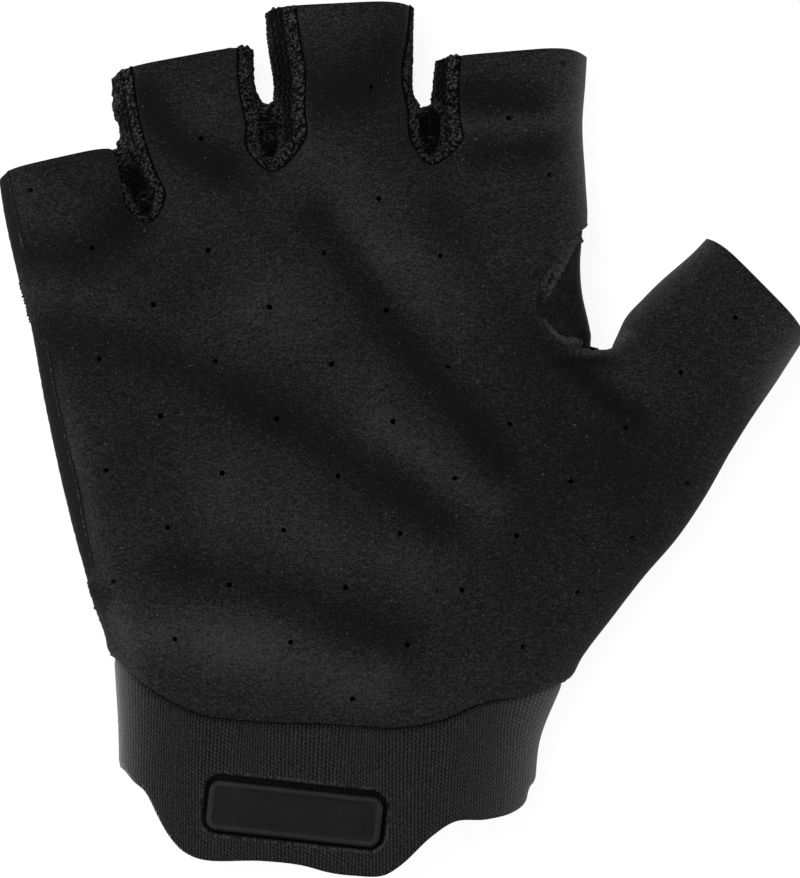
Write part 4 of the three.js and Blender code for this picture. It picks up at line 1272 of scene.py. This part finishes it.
# %% Make the cuff
def near_hollow(x, y, z):
    """Distance from the hollow's edge, on the palm side only."""
    return np.where(z > SEAM_HEIGHT, np.abs(from_hollow(x, y)), 99)


def make_cuff():
    """The ribbed cuff with its tab, the pressed hollow and a painted sheen along its sides."""
    bm = sheet.copy()
    trim(bm, cuff_region, ALLOWANCE)
    trim(bm, lambda x, y, z: np.maximum(cuff_region(x, y, z), ALLOWANCE - in_cuff(x, y)))
    largest_island(bm)
    refine(bm, near_hollow, 2.2, 3)
    points = points_of(bm)
    x, y, z = points.T
    on_palm_side = z > SEAM_HEIGHT
    seam, hem, rim = in_cuff(x, y), cuff_region(x, y, z), from_hollow(x, y)
    hollow = 0.15 * hump(rim - 0.6, 0.45) - HOLLOW_DEPTH * smooth(0.5 - rim / 0.45)
    out = -tuck(seam) - 0.5 * np.exp(-np.maximum(seam, 0) / 2) - 0.3 * hump(np.maximum(hem, 0), 0.6)
    flecks = smooth((lumps(points, 0.7) - 0.45) / 0.3)
    lip = hump(rim - 0.25, 0.22) * flecks
    # Light flecks of thread on the hollow's lip, painted shade inside the hollow and a painted shadow under
    # the suede's edge.
    nap_and_painted_shading = 3.0 * lip - 1.1 * smooth((0.1 - rim) / 0.4) - 0.5 * hump(seam, 0.9)
    set_number(bm, "nap_and_painted_shading", nap_and_painted_shading * on_palm_side)
    side = edge_distance(x, y)
    # Painted sheen along both sides, stronger on the little finger's side.
    set_number(bm, "rim", np.where(x < 0, 0.3 * np.exp(-side / 2.2), 0.17 * np.exp(-side / 4.5)))
    move_out(bm, out + hollow * on_palm_side)
    return bm


place(make_cuff(), "ribbed_cuff", "cuff", cuff_finish, KNIT)

# %% [markdown]
# ## The badge
# The bare rubber badge is a flat bar with round corners and a low rim. It could be a box with a bevel
# modifier, but then the rim would need a second piece. So it starts as one square, gets its corners
# by a bevel and its rim by insets, is sliced so that it can bend, and is then laid over the cuff.


# %% Make the badge
def badge_blank():
    """The flat badge before it is laid over the cuff."""
    bm = bmesh.new()
    bmesh.ops.create_grid(bm, x_segments=1, y_segments=1, size=0.5)
    bmesh.ops.scale(bm, verts=bm.verts[:], vec=(BADGE_LENGTH, BADGE_WIDTH, 1))
    bmesh.ops.bevel(
        bm, geom=bm.verts[:], affect="VERTICES", offset=BADGE_CORNER, segments=8, profile=0.5, material=-1
    )
    face = bm.faces[:][0]
    raised = bmesh.ops.extrude_face_region(bm, geom=[face])["geom"]
    top = [v for v in raised if isinstance(v, bmesh.types.BMVert)]
    bmesh.ops.translate(bm, verts=top, vec=(0, 0, BADGE_THICKNESS))
    bm.normal_update()
    lid = max(bm.faces, key=lambda f: f.calc_center_median().z)
    for thickness, depth in BADGE_INSETS:
        bmesh.ops.inset_region(bm, faces=[lid], thickness=thickness, depth=depth)
    for x in np.linspace(-0.47, 0.47, BADGE_SLICES) * BADGE_LENGTH:
        geometry = bm.verts[:] + bm.edges[:] + bm.faces[:]
        bmesh.ops.bisect_plane(bm, geom=geometry, plane_co=(x, 0, 0), plane_no=(1, 0, 0))
    bmesh.ops.recalc_face_normals(bm, faces=bm.faces[:])
    return bm


def lay_badge(badge):
    """Turns the badge, lays it over the cuff and marks its raised rim for a painted highlight."""
    x, y, z = points_of(badge).T
    plan_x = x * math.cos(badge_turn) - y * math.sin(badge_turn) + badge_centre[0]
    plan_y = x * math.sin(badge_turn) + y * math.cos(badge_turn) + badge_centre[1]
    plan_z = palm_height(plan_x, plan_y) + z - HOLLOW_DEPTH - SINK
    # The raised rim, where the rubber gets a painted highlight.
    set_number(badge, "rim", smooth((z - z.max() + 0.12) / 0.08))
    for vert, spot in zip(badge.verts, np.stack([plan_x, plan_y, plan_z], axis=-1)):
        vert.co = spot


badge = badge_blank()
lay_badge(badge)
place(badge, "rubber_badge", "cuff_badge", rubber_finish, 0)

# %% [markdown]
# ## Floor, light and camera
# The glove lies on a white light table under large soft lights, so it has hardly a shadow. A plain
# white floor would turn grey where the light falls off, so this one also glows. The camera looks
# straight down on the glove through a long lens, so nothing leans outwards.


# %% Floor
def floor():
    """A white floor that glows, so that it stays white."""
    bm = bmesh.new()
    bmesh.ops.create_grid(bm, x_segments=1, y_segments=1, size=3)
    mesh = bpy.data.meshes.new("floor")
    bm.to_mesh(mesh)
    bm.free()
    s = Shader("white light table")
    white = {"Base_Color": (0.12, 0.12, 0.12, 1), "Roughness": 0.9, "Specular_IOR_Level": 0.0}
    glow = {"Emission_Color": (1, 1, 1, 1), "Emission_Strength": 0.9}
    surface = s.value("ShaderNodeBsdfPrincipled", **white, **glow)
    s.node("ShaderNodeOutputMaterial", Surface=surface)
    mesh.materials.append(s.material)
    made = bpy.data.objects.new("floor", mesh)
    bpy.context.scene.collection.objects.link(made)


floor()


# %% Lights
def soft_light(name, spot, size, power):
    """A square light of a size in metres and a power in watts, aimed at the glove."""
    data = bpy.data.lights.new(name, "AREA")
    data.shape = "SQUARE"
    data.size = size
    data.energy = power
    made = bpy.data.objects.new(name, data)
    made.location = spot
    made.rotation_euler = (-Vector(spot)).to_track_quat("-Z", "Y").to_euler()
    bpy.context.scene.collection.objects.link(made)


soft_light("top", (-0.3, 0.35, 1.1), 0.7, 11)
soft_light("left", (-1.0, -0.15, 0.25), 0.6, 12)
soft_light("right", (1.0, -0.15, 0.25), 0.6, 12)
world = bpy.data.worlds.new("studio")
world.use_nodes = True
world.node_tree.nodes["Background"].inputs["Color"].default_value = (1, 1, 1, 1)
world.node_tree.nodes["Background"].inputs["Strength"].default_value = 0.35
bpy.context.scene.world = world
bpy.context.scene.view_settings.view_transform = "Standard"
print("lights:", [light.name for light in bpy.data.lights])

# %% Camera
PHOTO_WIDTH = 800
PHOTO_SCALE = 0.195
CAMERA_HEIGHT = 4.0
eye = bpy.data.cameras.new("camera")
eye.sensor_fit = "HORIZONTAL"
eye.lens = eye.sensor_width * CAMERA_HEIGHT / (PHOTO_WIDTH * PHOTO_SCALE * MM)
eye.clip_end = 10
camera = bpy.data.objects.new("camera", eye)
camera.location = (0, 0, CAMERA_HEIGHT + SEAM_HEIGHT * MM)
bpy.context.scene.collection.objects.link(camera)
bpy.context.scene.camera = camera
print("lens:", round(eye.lens), "mm")
